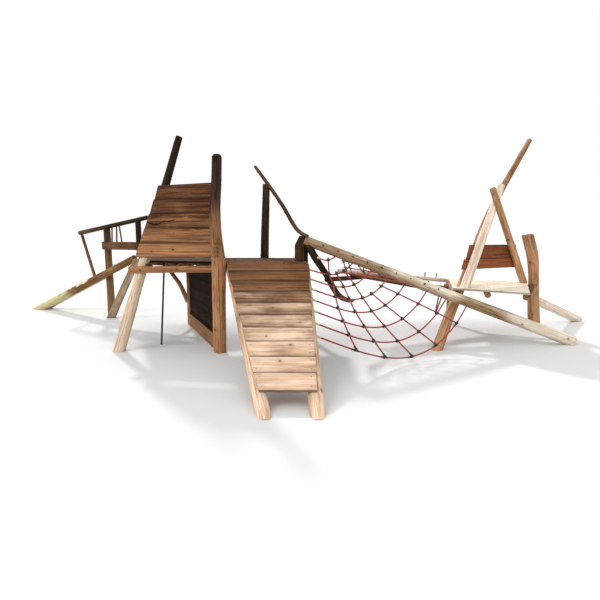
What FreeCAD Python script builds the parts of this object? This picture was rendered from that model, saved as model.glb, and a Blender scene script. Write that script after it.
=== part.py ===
import FreeCAD, Part
import math
import os

# Free-standing timber climbing frame whose rope cargo net hangs between a ramp and a long sloping beam.
# Units are millimetres. +X runs along the frame from the balance logs to the far tower, +Y runs away
# from the ramp's foot and +Z is up. The pieces are set out from the middle of the ramp's head at ground
# level, and the finished frame is then moved so that the middle of its footprint is the origin.

V = FreeCAD.Vector

# ---------------------------------------------------------------- driving dimensions
FIT = 0.3                     # clearance of every seat, hole and housing
LOG_SIDES = 16                # flats round a peeled log
HOUSING = 8.0                 # how deep a board or rail is let into a round log
DECK_HEIGHT = 1240.0          # walking surface of the landing and of the tall tower
LOW_DECK_HEIGHT = 830.0       # walking surface of the low tower
BOARD_THICK = 30.0
BOARD_GAP = 6.0
DECK_BOARD_WIDTH = 140.0

RAMP_RUN = 2420.0             # from the ramp's head to its foot, measured along the ground
RAMP_BOARDS = 10
RAMP_HEAD_Y = -20.0
RAMP_HEAD_LEFT, RAMP_HEAD_RIGHT = -558.0, 548.0      # edges of the boards at the head
RAMP_TOE_LEFT, RAMP_TOE_RIGHT = 56.0, 602.0          # edges of the boards at the lowest board
RAMP_BARE = 382.0             # bare stringer below the lowest board, along the slope
STRINGER_HEAD_DIA, STRINGER_FOOT_DIA = 130.0, 148.0
STRINGER_FLAT = 6.0           # how much the stringers are planed off to seat the boards

BEAM_UPPER_DIA = (126.0, 158.0)        # at its head and at the end of its tongue
BEAM_LOWER_DIA = (128.0, 168.0)        # at the tip of the splice and at its foot
BEAM_SCARF_X = 2310.0         # middle of the long splice between the two beam logs
BEAM_SCARF_TILT = 11.0        # degrees between the splice and the beam
BEAM_BOLTS = 9
BEAM_BOLT_PITCH = 218.0       # along the beam
BEAM_BOLT_FIRST = 262.0       # from the beam's head to the first bolt

ROPE_DIA = 18.0
ROPE_SIDES = 8
ROPE_BITE = 26.0              # length of rope end held inside a log
ACROSS_ROPES = 8
RAMP_ANCHOR_FIRST = -1265.0   # Y of the front rope's anchor
RAMP_ANCHOR_PITCH = 206.0     # between rope anchors, along the ground
BEAM_ANCHORS = (2815.0, 2515.0, 2225.0, 1920.0, 1680.0, 1435.0, 1175.0, 935.0)   # X of each rope
NET_SAG = 0.18                # sag of an across rope as a share of its span
NET_LEAN = 0.38               # how far the lowest point sits towards the beam
NET_FORWARD = 0.04            # bulge towards the ramp's foot as a share of the span
DOWN_SHARES = (0.207, 0.382, 0.562, 0.740, 0.905)    # where the down ropes cross the front rope
DOWN_GATHER = (0.36, 0.35, 0.34, 0.05, -0.12)        # how far they have moved over at the back rope
DOWN_ROWS = (8, 7, 7, 5, 5)   # how many across ropes each down rope ties together
CLAMP_ACROSS = 44.0
CLAMP_WALL = 4.0
CLAMP_WEB = 2.0               # material between the two ropes in a clamp
CLAMP_GRIP = 50.0             # from the middle of a clamp to the bend on either side
FERRULE_LENGTH, FERRULE_DIA = 56.0, 30.0
EDGE_SLEEVE_LENGTH = 100.0
BRIDGE_ROPE_SAG = 0.025       # sag of the bridge's cross ropes as a share of their span

BOLT_DIA = 12.0
BOLT_HEAD_ACROSS, BOLT_HEAD_HIGH = 22.0, 8.0
WASHER_DIA, WASHER_THICK = 36.0, 3.0


# ---------------------------------------------------------------- round logs, planks and small hardware
def unit(vector):
    """The vector with a length of one."""
    return vector * (1.0 / vector.Length)


def mix(a, b, share):
    """The value a share of the way from a to b, for numbers and points alike."""
    return a + (b - a) * share


def prism(sides, radius, length, base, direction):
    """A straight bar of regular section, with its corners on the given radius."""
    bar = [V(radius * math.cos(2 * math.pi * k / sides), radius * math.sin(2 * math.pi * k / sides), 0)
           for k in range(sides)]
    face = Part.Face(Part.makePolygon(bar + bar[:1]))
    face.Placement = FreeCAD.Placement(base, FreeCAD.Rotation(V(0, 0, 1), direction))
    return face.extrude(unit(direction) * length)


def half_space(point, normal, size=12000.0):
    """A large block that fills the side of a plane which the normal points into."""
    block = Part.makeBox(size, size, size, V(-size / 2, -size / 2, 0))
    block.Placement = FreeCAD.Placement(point, FreeCAD.Rotation(V(0, 0, 1), normal))
    return block


def on_ground(shape):
    """The shape cut flat where it meets the ground."""
    return shape.cut(half_space(V(0, 0, 0), V(0, 0, -1)))


def housed(shape, *pieces):
    """The shape with a close seat cut into it for each of the pieces, which are given grown by FIT."""
    for piece in pieces:
        if shape.BoundBox.intersect(piece.BoundBox):
            shape = shape.cut(piece)
    return max(shape.Solids, key=lambda solid: solid.Volume)


def skin(rings):
    """A closed solid through rings of corners that lie in parallel planes, with a flat face between each pair."""
    faces = [Part.Face(Part.makePolygon(ring + ring[:1])) for ring in (rings[0], rings[-1])]
    for low, high in zip(rings, rings[1:]):
        for k in range(len(low)):
            j = (k + 1) % len(low)
            faces.append(Part.Face(Part.makePolygon([low[k], low[j], high[j], high[k], low[k]])))
    body = Part.makeSolid(Part.makeShell(faces))
    if body.Volume < 0:
        body.reverse()
    return body


def log_skin(stations, run):
    """A many-sided log through (point, radius) stations, its rings all square to the run."""
    level = V(-run.y, run.x, 0) if math.hypot(run.x, run.y) > 0.05 else V(1, 0, 0)
    level = unit(level - run * level.dot(run))
    steep = run.cross(level)
    corner = math.sqrt(2 * math.pi / (LOG_SIDES * math.sin(2 * math.pi / LOG_SIDES)))
    rings = []
    for point, radius in stations:
        rings.append([point + (level * math.cos(2 * math.pi * k / LOG_SIDES)
                               + steep * math.sin(2 * math.pi * k / LOG_SIDES)) * radius * corner
                      for k in range(LOG_SIDES)])
    return skin(rings)


class Log:
    """A straight round log that tapers evenly from its foot to its head."""

    def __init__(self, foot, head, foot_dia, head_dia):
        self.foot, self.head = V(*foot), V(*head)
        self.foot_dia, self.head_dia = foot_dia, head_dia
        self.run = unit(self.head - self.foot)

    def at(self, share):
        return mix(self.foot, self.head, share)

    def dia(self, share):
        return mix(self.foot_dia, self.head_dia, share)

    def share_at(self, axis, value):
        """How far along the log a coordinate is reached; axis is 0, 1 or 2."""
        return (value - self.foot[axis]) / (self.head[axis] - self.foot[axis])

    def solid(self, grow=0.0, before=0.0, after=0.0):
        """The log, made thicker all round by grow and longer at its foot and head."""
        length = (self.head - self.foot).Length
        slope = (self.head_dia - self.foot_dia) / 2 / length
        foot_r = self.foot_dia / 2 + grow - slope * before
        head_r = self.head_dia / 2 + grow + slope * after
        return log_skin([(self.foot - self.run * before, foot_r), (self.head + self.run * after, head_r)], self.run)


class CrookedLog:
    """A naturally bent log through stations of (x, y, z, diameter), from its foot to its head."""

    def __init__(self, *stations):
        self.points = [V(*s[:3]) for s in stations]
        self.dias = [s[3] for s in stations]

    def station(self, axis, value):
        """The axis point and the diameter where a coordinate is reached; axis is 0, 1 or 2."""
        for k in range(len(self.points) - 1):
            low, high = self.points[k][axis], self.points[k + 1][axis]
            if min(low, high) <= value <= max(low, high):
                share = (value - low) / (high - low)
                return mix(self.points[k], self.points[k + 1], share), mix(self.dias[k], self.dias[k + 1], share)
        raise ValueError("the log does not reach that height")

    def solid(self, grow=0.0, below=0.0):
        """The log, made thicker by grow, and longer at its foot by the length given as below."""
        points, dias = list(self.points), list(self.dias)
        if below:
            points.insert(0, points[0] + unit(points[0] - points[1]) * below)
            dias.insert(0, dias[0])
        run = unit(points[-1] - points[0])
        return log_skin([(point, dia / 2 + grow) for point, dia in zip(points, dias)], run)


class Plank:
    """A sawn board or squared timber: width runs along up, and the end cuts may be skewed."""

    def __init__(self, start, end, width, thick, up=(0, 0, 1), start_skew=0.0, end_skew=0.0):
        self.start, self.end = V(*start), V(*end)
        self.width, self.thick = width, thick
        self.run = unit(self.end - self.start)
        lift = V(*up)
        self.up = unit(lift - self.run * lift.dot(self.run))
        self.side = self.run.cross(self.up)
        self.start_skew, self.end_skew = start_skew, end_skew

    def at(self, share):
        return mix(self.start, self.end, share)

    def solid(self, grow=0.0):
        half = self.width / 2 + grow
        corners = []
        for point, along, skew, high in ((self.start, -grow, self.start_skew, -1), (self.end, grow, self.end_skew, -1),
                                         (self.end, grow, self.end_skew, 1), (self.start, -grow, self.start_skew, 1)):
            corners.append(point + self.run * (along + skew * high) + self.up * half * high
                           - self.side * (self.thick / 2 + grow))
        face = Part.Face(Part.makePolygon(corners + corners[:1]))
        return face.extrude(self.side * (self.thick + 2 * grow))


class Bolt:
    """A through bolt with a washer under its head and its nut."""

    def __init__(self, head, tail):
        self.head, self.tail = V(*head), V(*tail)
        self.run = unit(self.tail - self.head)

    def solid(self):
        grip = (self.tail - self.head).Length
        cap = WASHER_THICK + BOLT_HEAD_HIGH
        shank = prism(8, BOLT_DIA / 2, grip + 2 * cap, self.head - self.run * cap, self.run)
        body = shank
        for seat, way in ((self.head, self.run * -1), (self.tail, self.run)):
            body = body.fuse(prism(8, WASHER_DIA / 2, WASHER_THICK, seat, way))
            body = body.fuse(prism(6, BOLT_HEAD_ACROSS / 2, BOLT_HEAD_HIGH, seat + way * WASHER_THICK, way))
        return body.removeSplitter()

    def hole(self, clear=60.0):
        """The bore with a flat spot for each washer."""
        grip = (self.tail - self.head).Length
        bore = prism(8, BOLT_DIA / 2 + 2 * FIT, grip, self.head, self.run)
        for seat, way in ((self.head, self.run * -1), (self.tail, self.run)):
            bore = bore.fuse(prism(8, WASHER_DIA / 2 + 2 * FIT, clear, seat, way))
        return bore


def bolt_across(point, direction, near, far):
    """A bolt through a point, whose head and nut seats lie near and far from it along the direction."""
    way = unit(V(*direction))
    return Bolt(point - way * near, point + way * far)


def rope(points, diameter=ROPE_DIA, sides=ROPE_SIDES, bend=26.0):
    """A rope as a plain many-sided tube: straight runs, joined at each point by a tangent arc."""
    edges, at = [], points[0]
    for before, corner, after in zip(points, points[1:], points[2:]):
        into, out = unit(corner - before), unit(after - corner)
        reach = min(0.45 * min((corner - before).Length, (after - corner).Length), bend)
        start, end = corner - into * reach, corner + out * reach
        half_turn = into.getAngle(out) / 2
        radius = reach / math.tan(half_turn)
        middle = corner + unit(out - into) * (radius / math.cos(half_turn) - radius)
        edges += [Part.LineSegment(at, start).toShape(), Part.Arc(start, middle, end).toShape()]
        at = end
    edges.append(Part.LineSegment(at, points[-1]).toShape())
    path = Part.Wire(edges)
    section = [V(diameter / 2 * math.cos(2 * math.pi * k / sides), diameter / 2 * math.sin(2 * math.pi * k / sides), 0)
               for k in range(sides)]
    ring = Part.makePolygon(section + section[:1])
    ring.Placement = FreeCAD.Placement(points[0], FreeCAD.Rotation(V(0, 0, 1), points[1] - points[0]))
    return path.makePipeShell([ring], True, False)


# ---------------------------------------------------------------- posts and beams that other pieces refer to
TOWER_POST = CrookedLog((-664, -50, 0, 175), (-660, -50, 700, 182), (-653, -50, 1275, 184), (-678, -50, 1600, 156),
                        (-686, -50, 1927, 150), (-656, -50, 2285, 138), (-640, -50, 2640, 128))
LEANING_POST = Log((-2080, 0, 0), (-1313, 700, 3007), 165, 98)
BACK_RIGHT_POST = Log((-1540, 1950, 0), (-1540, 1950, DECK_HEIGHT - 90), 125, 115)
HEADER = Log((-645, 70, DECK_HEIGHT - BOARD_THICK - 60), (545, 70, DECK_HEIGHT - BOARD_THICK - 60), 120, 120)
LANDING_BEAM = Log((-1190, 1080, DECK_HEIGHT - BOARD_THICK - 60), (560, 1080, DECK_HEIGHT - BOARD_THICK - 60), 120, 120)
LANDING_LEG = Log((430, 1080, 0), (430, 1080, DECK_HEIGHT - BOARD_THICK - 60), 125, 115)
CORNER_POST_AT, CORNER_POST_TURN = V(460, 150, 0), -30.0
CORNER_POST_SIZE = (150.0, 120.0, 1590.0)
LANDING_POST = ((-177, 1215, 0, 154), (-89, 1150, 2390, 103))
HANDRAIL = CrookedLog((-264, 1200, 2662, 50), (-91, 1150, 2428, 56), (180, 695, 2034, 57),
                      (450, 200, CORNER_POST_SIZE[2] + 40, 56), (540, 50, CORNER_POST_SIZE[2] - 10, 53))

BEAM = Log((500, 97, 1530), (4480, 404, 36), 126, 168)
BEAM_UPPER = Log(tuple(BEAM.at(0)), tuple(BEAM.at(0.60)), BEAM_UPPER_DIA[0], BEAM_UPPER_DIA[1])
BEAM_LOWER = Log(tuple(BEAM.at(0.30)), tuple(BEAM.at(1)), BEAM_LOWER_DIA[0], BEAM_LOWER_DIA[1])
BRANCH = CrookedLog((545, 95, 1470, 104), (687, 120, 1232, 98), (825, 140, 1022, 90), (909, 160, 866, 86),
                    (993, 180, 750, 82), (1105, 200, 690, 76), (1190, 200, 672, 70))
SILL = Log((810, 150, 985), (1530, 1500, 895), 74, 66)
FAR_BEAM = Log((1065, 1300, 1010), (3062, 1895, 798), 74, 68)

LONG_LEG = CrookedLog((2370, 80, 0, 152), (2734, 490, 633, 142), (2920, 715, 892, 134), (3015, 735, 1161, 128),
                      (3085, 765, 1344, 122), (3265, 900, 1737, 108), (4116, 1400, 3105, 76))
LIGHT_LOG = Log((2857, 470, LOW_DECK_HEIGHT), (3458, 820, 2340), 138, 104)
CROSSING_LOG = Log((4085, 1200, LOW_DECK_HEIGHT), (3228, 570, 2259), 112, 92)
BOWED_POST = CrookedLog((4420, 1400, 0, 190), (4354, 1380, 570, 178), (4323, 1350, 876, 168), (4258, 1320, 1259, 174),
                        (4143, 1300, 1600, 182))
LOW_BACK_LEG = Log((3150, 1946, 0), (3150, 1946, LOW_DECK_HEIGHT - 140), 120, 110)

RAIL_POST = Log((-3440, 3050, 0), (-3440, 3050, 1760), 152, 128)
NEWEL = Log((-2640, 2580, DECK_HEIGHT), (-2640, 2580, DECK_HEIGHT + 645), 112, 104)
TOP_RAIL = Log((-4205, 3500, 1642), (-2418, 2450, 1922), 88, 82)
BALANCE_FRONT = Log((-5420, 3660, -74), (-2770, 2673, DECK_HEIGHT - 88), 152, 140)
BALANCE_BACK = Log((-5330, 3800, -70), (-3490, 3110, 800), 130, 108)
STEEL_POLE = Log((-1610, 400, 0), (-1530, 440, DECK_HEIGHT - BOARD_THICK), 28, 28)


def corner_post_solid(grow=0.0):
    """A squared post turned to face the ramp, with one top corner sawn off at a slant."""
    wide, deep, high = CORNER_POST_SIZE
    outline = [V(-wide / 2 - grow, 0, 0), V(wide / 2 + grow, 0, 0), V(wide / 2 + grow, 0, high + grow),
               V(-wide / 2 + 75, 0, high + grow), V(-wide / 2 - grow, 0, high - 125)]
    face = Part.Face(Part.makePolygon(outline + outline[:1]))
    post = face.extrude(V(0, deep + 2 * grow, 0))
    post.translate(V(0, -deep / 2 - grow, 0))
    post.Placement = FreeCAD.Placement(CORNER_POST_AT, FreeCAD.Rotation(V(0, 0, 1), CORNER_POST_TURN)).multiply(
        post.Placement)
    return post


# ---------------------------------------------------------------- ramp
SLOPE = math.atan2(DECK_HEIGHT, RAMP_RUN)
DOWN_SLOPE = V(0, -math.cos(SLOPE), -math.sin(SLOPE))
OFF_SLOPE = V(0, -math.sin(SLOPE), math.cos(SLOPE))
RAMP_LENGTH = math.hypot(RAMP_RUN, DECK_HEIGHT)


def on_ramp(x, down, off=0.0):
    """A point on the boards' top surface: x across, down along the slope from the head, off its face."""
    return V(x, RAMP_HEAD_Y, DECK_HEIGHT) + DOWN_SLOPE * down + OFF_SLOPE * off


def ramp_edges(down):
    """The left and right ends of the boards at a distance down the slope."""
    share = down / (RAMP_LENGTH - RAMP_BARE)
    return mix(RAMP_HEAD_LEFT, RAMP_TOE_LEFT, share), mix(RAMP_HEAD_RIGHT, RAMP_TOE_RIGHT, share)


def stringer(head_x, foot_x):
    """A ramp log whose planed top lies under the boards, from behind the header to the ground."""
    head_r, foot_r = STRINGER_HEAD_DIA / 2, STRINGER_FOOT_DIA / 2
    head = on_ramp(head_x, -67, -BOARD_THICK - head_r + STRINGER_FLAT)
    foot = on_ramp(foot_x, RAMP_LENGTH, -BOARD_THICK - foot_r + STRINGER_FLAT)
    return Log(tuple(foot), tuple(head), STRINGER_FOOT_DIA, STRINGER_HEAD_DIA)


STRINGER_LEFT = stringer(-523, 152)
STRINGER_RIGHT = stringer(502, 603)


def ramp_boards():
    """The boards, each a little different in length, with a narrow gap below each."""
    pitch = (RAMP_LENGTH - RAMP_BARE) / RAMP_BOARDS
    uneven = (0, 4, -3, 6, 2, -5, 3, 0, 5, -2)
    boards = []
    for k in range(RAMP_BOARDS):
        top, bottom = k * pitch, (k + 1) * pitch - BOARD_GAP
        out = uneven[k % len(uneven)]
        (left_top, right_top), (left_low, right_low) = ramp_edges(top), ramp_edges(bottom)
        corners = [on_ramp(left_top - out, top), on_ramp(right_top + out, top),
                   on_ramp(right_low + out, bottom), on_ramp(left_low - out, bottom)]
        face = Part.Face(Part.makePolygon(corners + corners[:1]))
        boards.append(face.extrude(OFF_SLOPE * -BOARD_THICK))
    return boards


def stringer_solid(log):
    """A stringer planed flat for the boards, saddled over the header and cut to stand on the ground."""
    body = log.solid(before=160)
    body = body.cut(half_space(on_ramp(0, 0, -BOARD_THICK), OFF_SLOPE))
    body = body.cut(half_space(V(0, RAMP_HEAD_Y - RAMP_RUN - 10, 0), V(0, -1, 0)))
    body = body.cut(half_space(V(0, 45, 0), V(0, 1, 0)))
    body = body.cut(Part.makeBox(2000, 400, 400, V(-1000, RAMP_HEAD_Y + BOARD_GAP - 2, DECK_HEIGHT - BOARD_THICK - FIT)))
    return housed(on_ground(body), HEADER.solid(FIT))


# ---------------------------------------------------------------- rope net between the ramp and the beam
def ramp_anchor(row):
    """Where an across rope leaves the ramp's right stringer; the last one is tied to the branch."""
    if row == ACROSS_ROPES - 1:
        middle, dia = BRANCH.station(2, 1293)
        return middle + unit(V(0.6, -0.8, 0)) * (dia / 2)
    log = STRINGER_RIGHT
    y = RAMP_ANCHOR_FIRST + row * RAMP_ANCHOR_PITCH
    share = log.share_at(1, y)
    return log.at(share) + V(log.dia(share) / 2, 0, 0)


def beam_anchor(row):
    """Where an across rope enters the lower front of the beam."""
    log = BEAM_UPPER if BEAM_ANCHORS[row] < BEAM_SCARF_X else BEAM_LOWER
    share = log.share_at(0, BEAM_ANCHORS[row])
    return log.at(share) + unit(V(0, -1, -1.2)) * (log.dia(share) / 2)


def across_point(row, share):
    """A point of a hanging across rope: a parabola that leans towards the beam."""
    left, right = ramp_anchor(row), beam_anchor(row)
    span = (right - left).Length
    bow = 4 * share * (1 - share) * (1 + NET_LEAN * (2 * share - 1))
    return mix(left, right, share) + V(0, -NET_FORWARD, -NET_SAG) * span * bow


def crossing_share(row, column):
    """How far along an across rope a down rope crosses it."""
    back = row / (ACROSS_ROPES - 1)
    return DOWN_SHARES[column] + DOWN_GATHER[column] * back ** 3


class Crossing:
    """The clamp where down rope `column` passes over across rope `row`."""

    def __init__(self, row, column):
        share = crossing_share(row, column)
        self.point = across_point(row, share)
        self.across = unit(across_point(row, share + 0.01) - across_point(row, share - 0.01))
        last = DOWN_ROWS[column] - 1
        ahead, behind = max(row - 1, 0), min(row + 1, last)
        self.down = unit(across_point(ahead, crossing_share(ahead, column))
                         - across_point(behind, crossing_share(behind, column)))
        self.normal = unit(self.across.cross(self.down) * -1)
        if self.normal.z < 0:
            self.normal = self.normal * -1
        self.over = self.point + self.normal * (ROPE_DIA + CLAMP_WEB)


def grip(here, there):
    """How far from a clamp's middle the rope starts to bend on its way to the next point."""
    return min(CLAMP_GRIP, 0.32 * (there - here).Length)


def across_route(row):
    """The route points of an across rope: straight through each clamp, hanging freely between them."""
    left, right = ramp_anchor(row), beam_anchor(row)
    columns = [c for c in range(len(DOWN_ROWS)) if row < DOWN_ROWS[c]]
    shares = [0.0] + [crossing_share(row, c) for c in columns] + [1.0]
    first = unit(across_point(row, shares[1] * 0.5) - left)
    last = unit(right - across_point(row, mix(shares[-2], 1.0, 0.5)))
    points = [left - first * ROPE_BITE, left + first * min(FERRULE_LENGTH + 14, 0.3 * (
        across_point(row, shares[1]) - left).Length)]
    for k, column in enumerate(columns):
        here = Crossing(row, column)
        before, after = across_point(row, shares[k]), across_point(row, shares[k + 2])
        if (here.point - points[-1]).Length > 190:
            points.append(across_point(row, mix(shares[k], shares[k + 1], 0.58 if k == 0 else 0.5)))
        points += [here.point - here.across * grip(here.point, before),
                   here.point + here.across * grip(here.point, after)]
    if (right - points[-1]).Length > 170:
        points.append(across_point(row, mix(shares[-2], 1.0, 0.5)))
    return points + [right + last * ROPE_BITE]


def down_route(column):
    """The route points of a down rope, from inside the front rope's sleeve to just past its last clamp."""
    clamps = [Crossing(row, column) for row in range(DOWN_ROWS[column])]
    points = [clamps[0].over + clamps[0].down * (CLAMP_ACROSS / 2 - 4)]
    for clamp, following in zip(clamps, clamps[1:]):
        hold = grip(clamp.over, following.over)
        points += [clamp.over - clamp.down * hold, following.over + following.down * hold]
    return points + [clamps[-1].over - clamps[-1].down * (CLAMP_ACROSS / 2 + 12)]


def rope_hole(length, base, way):
    """The bore that clears a rope, from base along way."""
    return prism(8, (ROPE_DIA / 2 + FIT) / math.cos(math.pi / 8), length, base, way)


def cross_clamp(crossing):
    """An eight-sided clamp body with a straight hole for each rope."""
    high = 2 * ROPE_DIA + CLAMP_WEB + 2 * CLAMP_WALL
    base = crossing.point - crossing.normal * (ROPE_DIA / 2 + CLAMP_WALL)
    body = prism(8, CLAMP_ACROSS / 2, high, base, crossing.normal)
    for middle, way in ((crossing.point, crossing.across), (crossing.over, crossing.down)):
        body = body.cut(rope_hole(2 * CLAMP_ACROSS, middle - way * CLAMP_ACROSS, way))
    return body


def edge_sleeve(crossing):
    """The front rope's clamp: a longer sleeve along it, and a blind socket for the down rope's end."""
    high = 2 * ROPE_DIA + CLAMP_WEB + 2 * CLAMP_WALL
    base = crossing.point - crossing.normal * (ROPE_DIA / 2 + CLAMP_WALL)
    body = prism(8, CLAMP_ACROSS / 2, high, base, crossing.normal)
    half = EDGE_SLEEVE_LENGTH / 2
    for start, way, length in ((crossing.point - crossing.across * half, crossing.across, 2 * half),
                               (crossing.over, crossing.down * -1, half)):
        body = body.fuse(prism(8, ROPE_DIA / 2 + CLAMP_WALL + 1, length, start, way))
    body = body.cut(rope_hole(3 * half, crossing.point - crossing.across * 1.5 * half, crossing.across))
    blind = CLAMP_ACROSS / 2 - 4 + FIT
    return body.cut(rope_hole(2 * half + blind, crossing.over + crossing.down * blind, crossing.down * -1))


def ferrule(row, grow=0.0):
    """The sleeve that guards an across rope where it leaves the stringer, or the solid it takes up."""
    points = across_route(row)
    way = unit(points[1] - points[0])
    base = ramp_anchor(row) - way * 6
    length = min(FERRULE_LENGTH, (points[1] - ramp_anchor(row)).Length)
    sleeve = prism(10, FERRULE_DIA / 2 + grow, length, base, way)
    return sleeve if grow else sleeve.cut(rope_hole(length, base, way))


def end_holes(row, at_beam):
    """What has to be bored out of the log at one end of an across rope."""
    points = across_route(row)
    if at_beam:
        way = unit(points[-2] - points[-1])
        return [rope_hole(ROPE_BITE + 60, points[-1] - way * 3, way)]
    way = unit(points[1] - points[0])
    return [rope_hole(ROPE_BITE + 60, points[0] - way * 3, way), ferrule(row, grow=2 * FIT)]


# ---------------------------------------------------------------- beam over the net and its bolts
BEAM_FRONT = unit(BEAM.run.cross(V(0, 0, 1)))
BEAM_LIFT = BEAM_FRONT.cross(BEAM.run)
SCARF_AT = BEAM.at(BEAM.share_at(0, BEAM_SCARF_X))
SCARF_TURN = FreeCAD.Rotation(BEAM_FRONT, -BEAM_SCARF_TILT)
SCARF_UP = SCARF_TURN.multVec(BEAM_LIFT)
if SCARF_UP.dot(BEAM.run) < 0:
    SCARF_UP = FreeCAD.Rotation(BEAM_FRONT, BEAM_SCARF_TILT).multVec(BEAM_LIFT)


def beam_bolts():
    """The row of bolts through the beam's front face, a little above its middle."""
    bolts = []
    toward = unit(BEAM_FRONT + BEAM_LIFT * math.tan(math.radians(18)))
    for k in range(BEAM_BOLTS):
        along = BEAM_BOLT_FIRST + k * BEAM_BOLT_PITCH
        log = BEAM_UPPER if along < (SCARF_AT - BEAM.foot).Length else BEAM_LOWER
        middle = BEAM.foot + BEAM.run * along
        radius = log.dia((middle - log.foot).dot(log.run) / (log.head - log.foot).Length) / 2
        bolts.append(Bolt(middle + toward * (radius - 4), middle - toward * (radius - 4)))
    return bolts


def bolt_between(point_a, dia_a, point_b, dia_b, seat=4.0, nut_seat=4.0):
    """A bolt through two crossing logs, from the far side of the first to the far side of the second."""
    way = unit(point_b - point_a)
    return Bolt(point_a - way * (dia_a / 2 - seat), point_b + way * (dia_b / 2 - nut_seat))


def scarf_bolts():
    """Two bolts square to the splice that draw the beam's two logs together."""
    bolts = []
    for offset in (-95.0, 95.0):
        middle = SCARF_AT + BEAM.run * offset
        bolts.append(Bolt(middle + SCARF_UP * 70, middle - SCARF_UP * 70))
    return bolts


# ---------------------------------------------------------------- decks
def deck_boards(outline, top, direction, width=DECK_BOARD_WIDTH):
    """Boards laid side by side along a direction and trimmed to an outline given as (x, y) corners."""
    along = unit(V(direction[0], direction[1], 0))
    across = V(-along.y, along.x, 0)
    corners = [V(x, y, top - BOARD_THICK) for x, y in outline]
    area = Part.Face(Part.makePolygon(corners + corners[:1])).extrude(V(0, 0, BOARD_THICK))
    start = min(c.dot(across) for c in corners)
    reach = max(c.dot(across) for c in corners) - start
    count = max(1, round(reach / width))
    pitch = (reach + BOARD_GAP) / count
    boards = []
    for k in range(count):
        low = start + k * pitch
        strip = [across * low - along * 9000, across * low + along * 9000,
                 across * (low + pitch - BOARD_GAP) + along * 9000, across * (low + pitch - BOARD_GAP) - along * 9000]
        strip = [V(p.x, p.y, top - BOARD_THICK) for p in strip]
        band = Part.Face(Part.makePolygon(strip + strip[:1])).extrude(V(0, 0, BOARD_THICK))
        boards += area.common(band).Solids
    return boards


def tower_edge(y):
    """The X of the line shared by the landing's deck and the tall tower's deck."""
    return -745 - 0.4453 * (y - 40)


LANDING_OUTLINE = ((545, -15), (-560, -15), (tower_edge(75) + 3, 75), (tower_edge(1110) + 3, 1110), (545, 1110))
TOWER_OUTLINE = ((tower_edge(78) - 3, 78), (-1800, 330), (-2710, 2650), (tower_edge(2050) - 3, 2050))
LOW_OUTLINE = ((2694, 487), (3533, -94), (4182, 1282), (3127, 2014))

# ---------------------------------------------------------------- joists, rails and boards
JOIST_DIA = 90.0
JOIST_Z = DECK_HEIGHT - BOARD_THICK - JOIST_DIA / 2
LANDING_JOISTS = [Log((x, 85, DECK_HEIGHT - BOARD_THICK - 50), (x, 1065, DECK_HEIGHT - BOARD_THICK - 50), 100, 100)
                  for x in (-480, 300)]
TOWER_JOIST_RIGHT = Log((tower_edge(62), 62, JOIST_Z), (tower_edge(2118), 2118, JOIST_Z), JOIST_DIA, JOIST_DIA)
TOWER_JOIST_MID = Log((-1204, 125, JOIST_Z), (-2138, 2350, JOIST_Z), JOIST_DIA, JOIST_DIA)
TOWER_JOIST_LEFT = Log((-1664, 185, JOIST_Z), (-2620, 2600, JOIST_Z), JOIST_DIA, JOIST_DIA)
TOWER_BACK_BEAM = Log((-1500, 2030, DECK_HEIGHT - 155), (-2800, 2675, DECK_HEIGHT - 155), 110, 110)
TOWER_RAIL = Plank((-655, 50, DECK_HEIGHT - 98), (-1960, 200, DECK_HEIGHT - 123), 95, 40)
TOWER_BACK_LEG = ((-3260, 2580, 0, 140), (-2520, 2100, DECK_HEIGHT - 70, 112))
TOWER_BRACE = CrookedLog((-1600, 1990, 400, 84), (-1740, 2060, 690, 78), (-1930, 2070, DECK_HEIGHT - 260, 76),
                         (-2015, 2110, DECK_HEIGHT - 90, 70))

LOW_JOIST_Z = LOW_DECK_HEIGHT - BOARD_THICK - JOIST_DIA / 2
LOW_JOIST_LEFT = Log((2700, 478, LOW_JOIST_Z), (3146, 2020, LOW_JOIST_Z), JOIST_DIA, JOIST_DIA)
LOW_JOIST_MID = Log((3110, 245, LOW_JOIST_Z), (3655, 1720, LOW_JOIST_Z), JOIST_DIA, JOIST_DIA)
LOW_JOIST_RIGHT = Plank((3600, 93, LOW_JOIST_Z), (4300, 1345, LOW_JOIST_Z), 90, 110)
LOW_BACK_BEAM = Log((3050, 1995, LOW_DECK_HEIGHT - 145), (4330, 1370, LOW_DECK_HEIGHT - 145), 100, 100)
FAR_RIGHT_LOG = Log((4300, 1498, 571), (5690, 2250, 10), 150, 146)

WALL_BOARDS, WALL_BOARD_WIDTH, WALL_BOARD_GAP, WALL_START_Z = 5, 196.0, 4.0, DECK_HEIGHT + 54
SIDE_BOARDS, SIDE_TOP = 6, DECK_HEIGHT - 152
PLANK_NEAR = Plank((1230, 1053, 983), (2900, 978, 683), 300, 40, up=(0, 1, 0))
PLANK_BACK = Plank((1400, 1327, 957), (3070, 1612, 683), 250, 40, up=(0, 1, 0))


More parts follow.
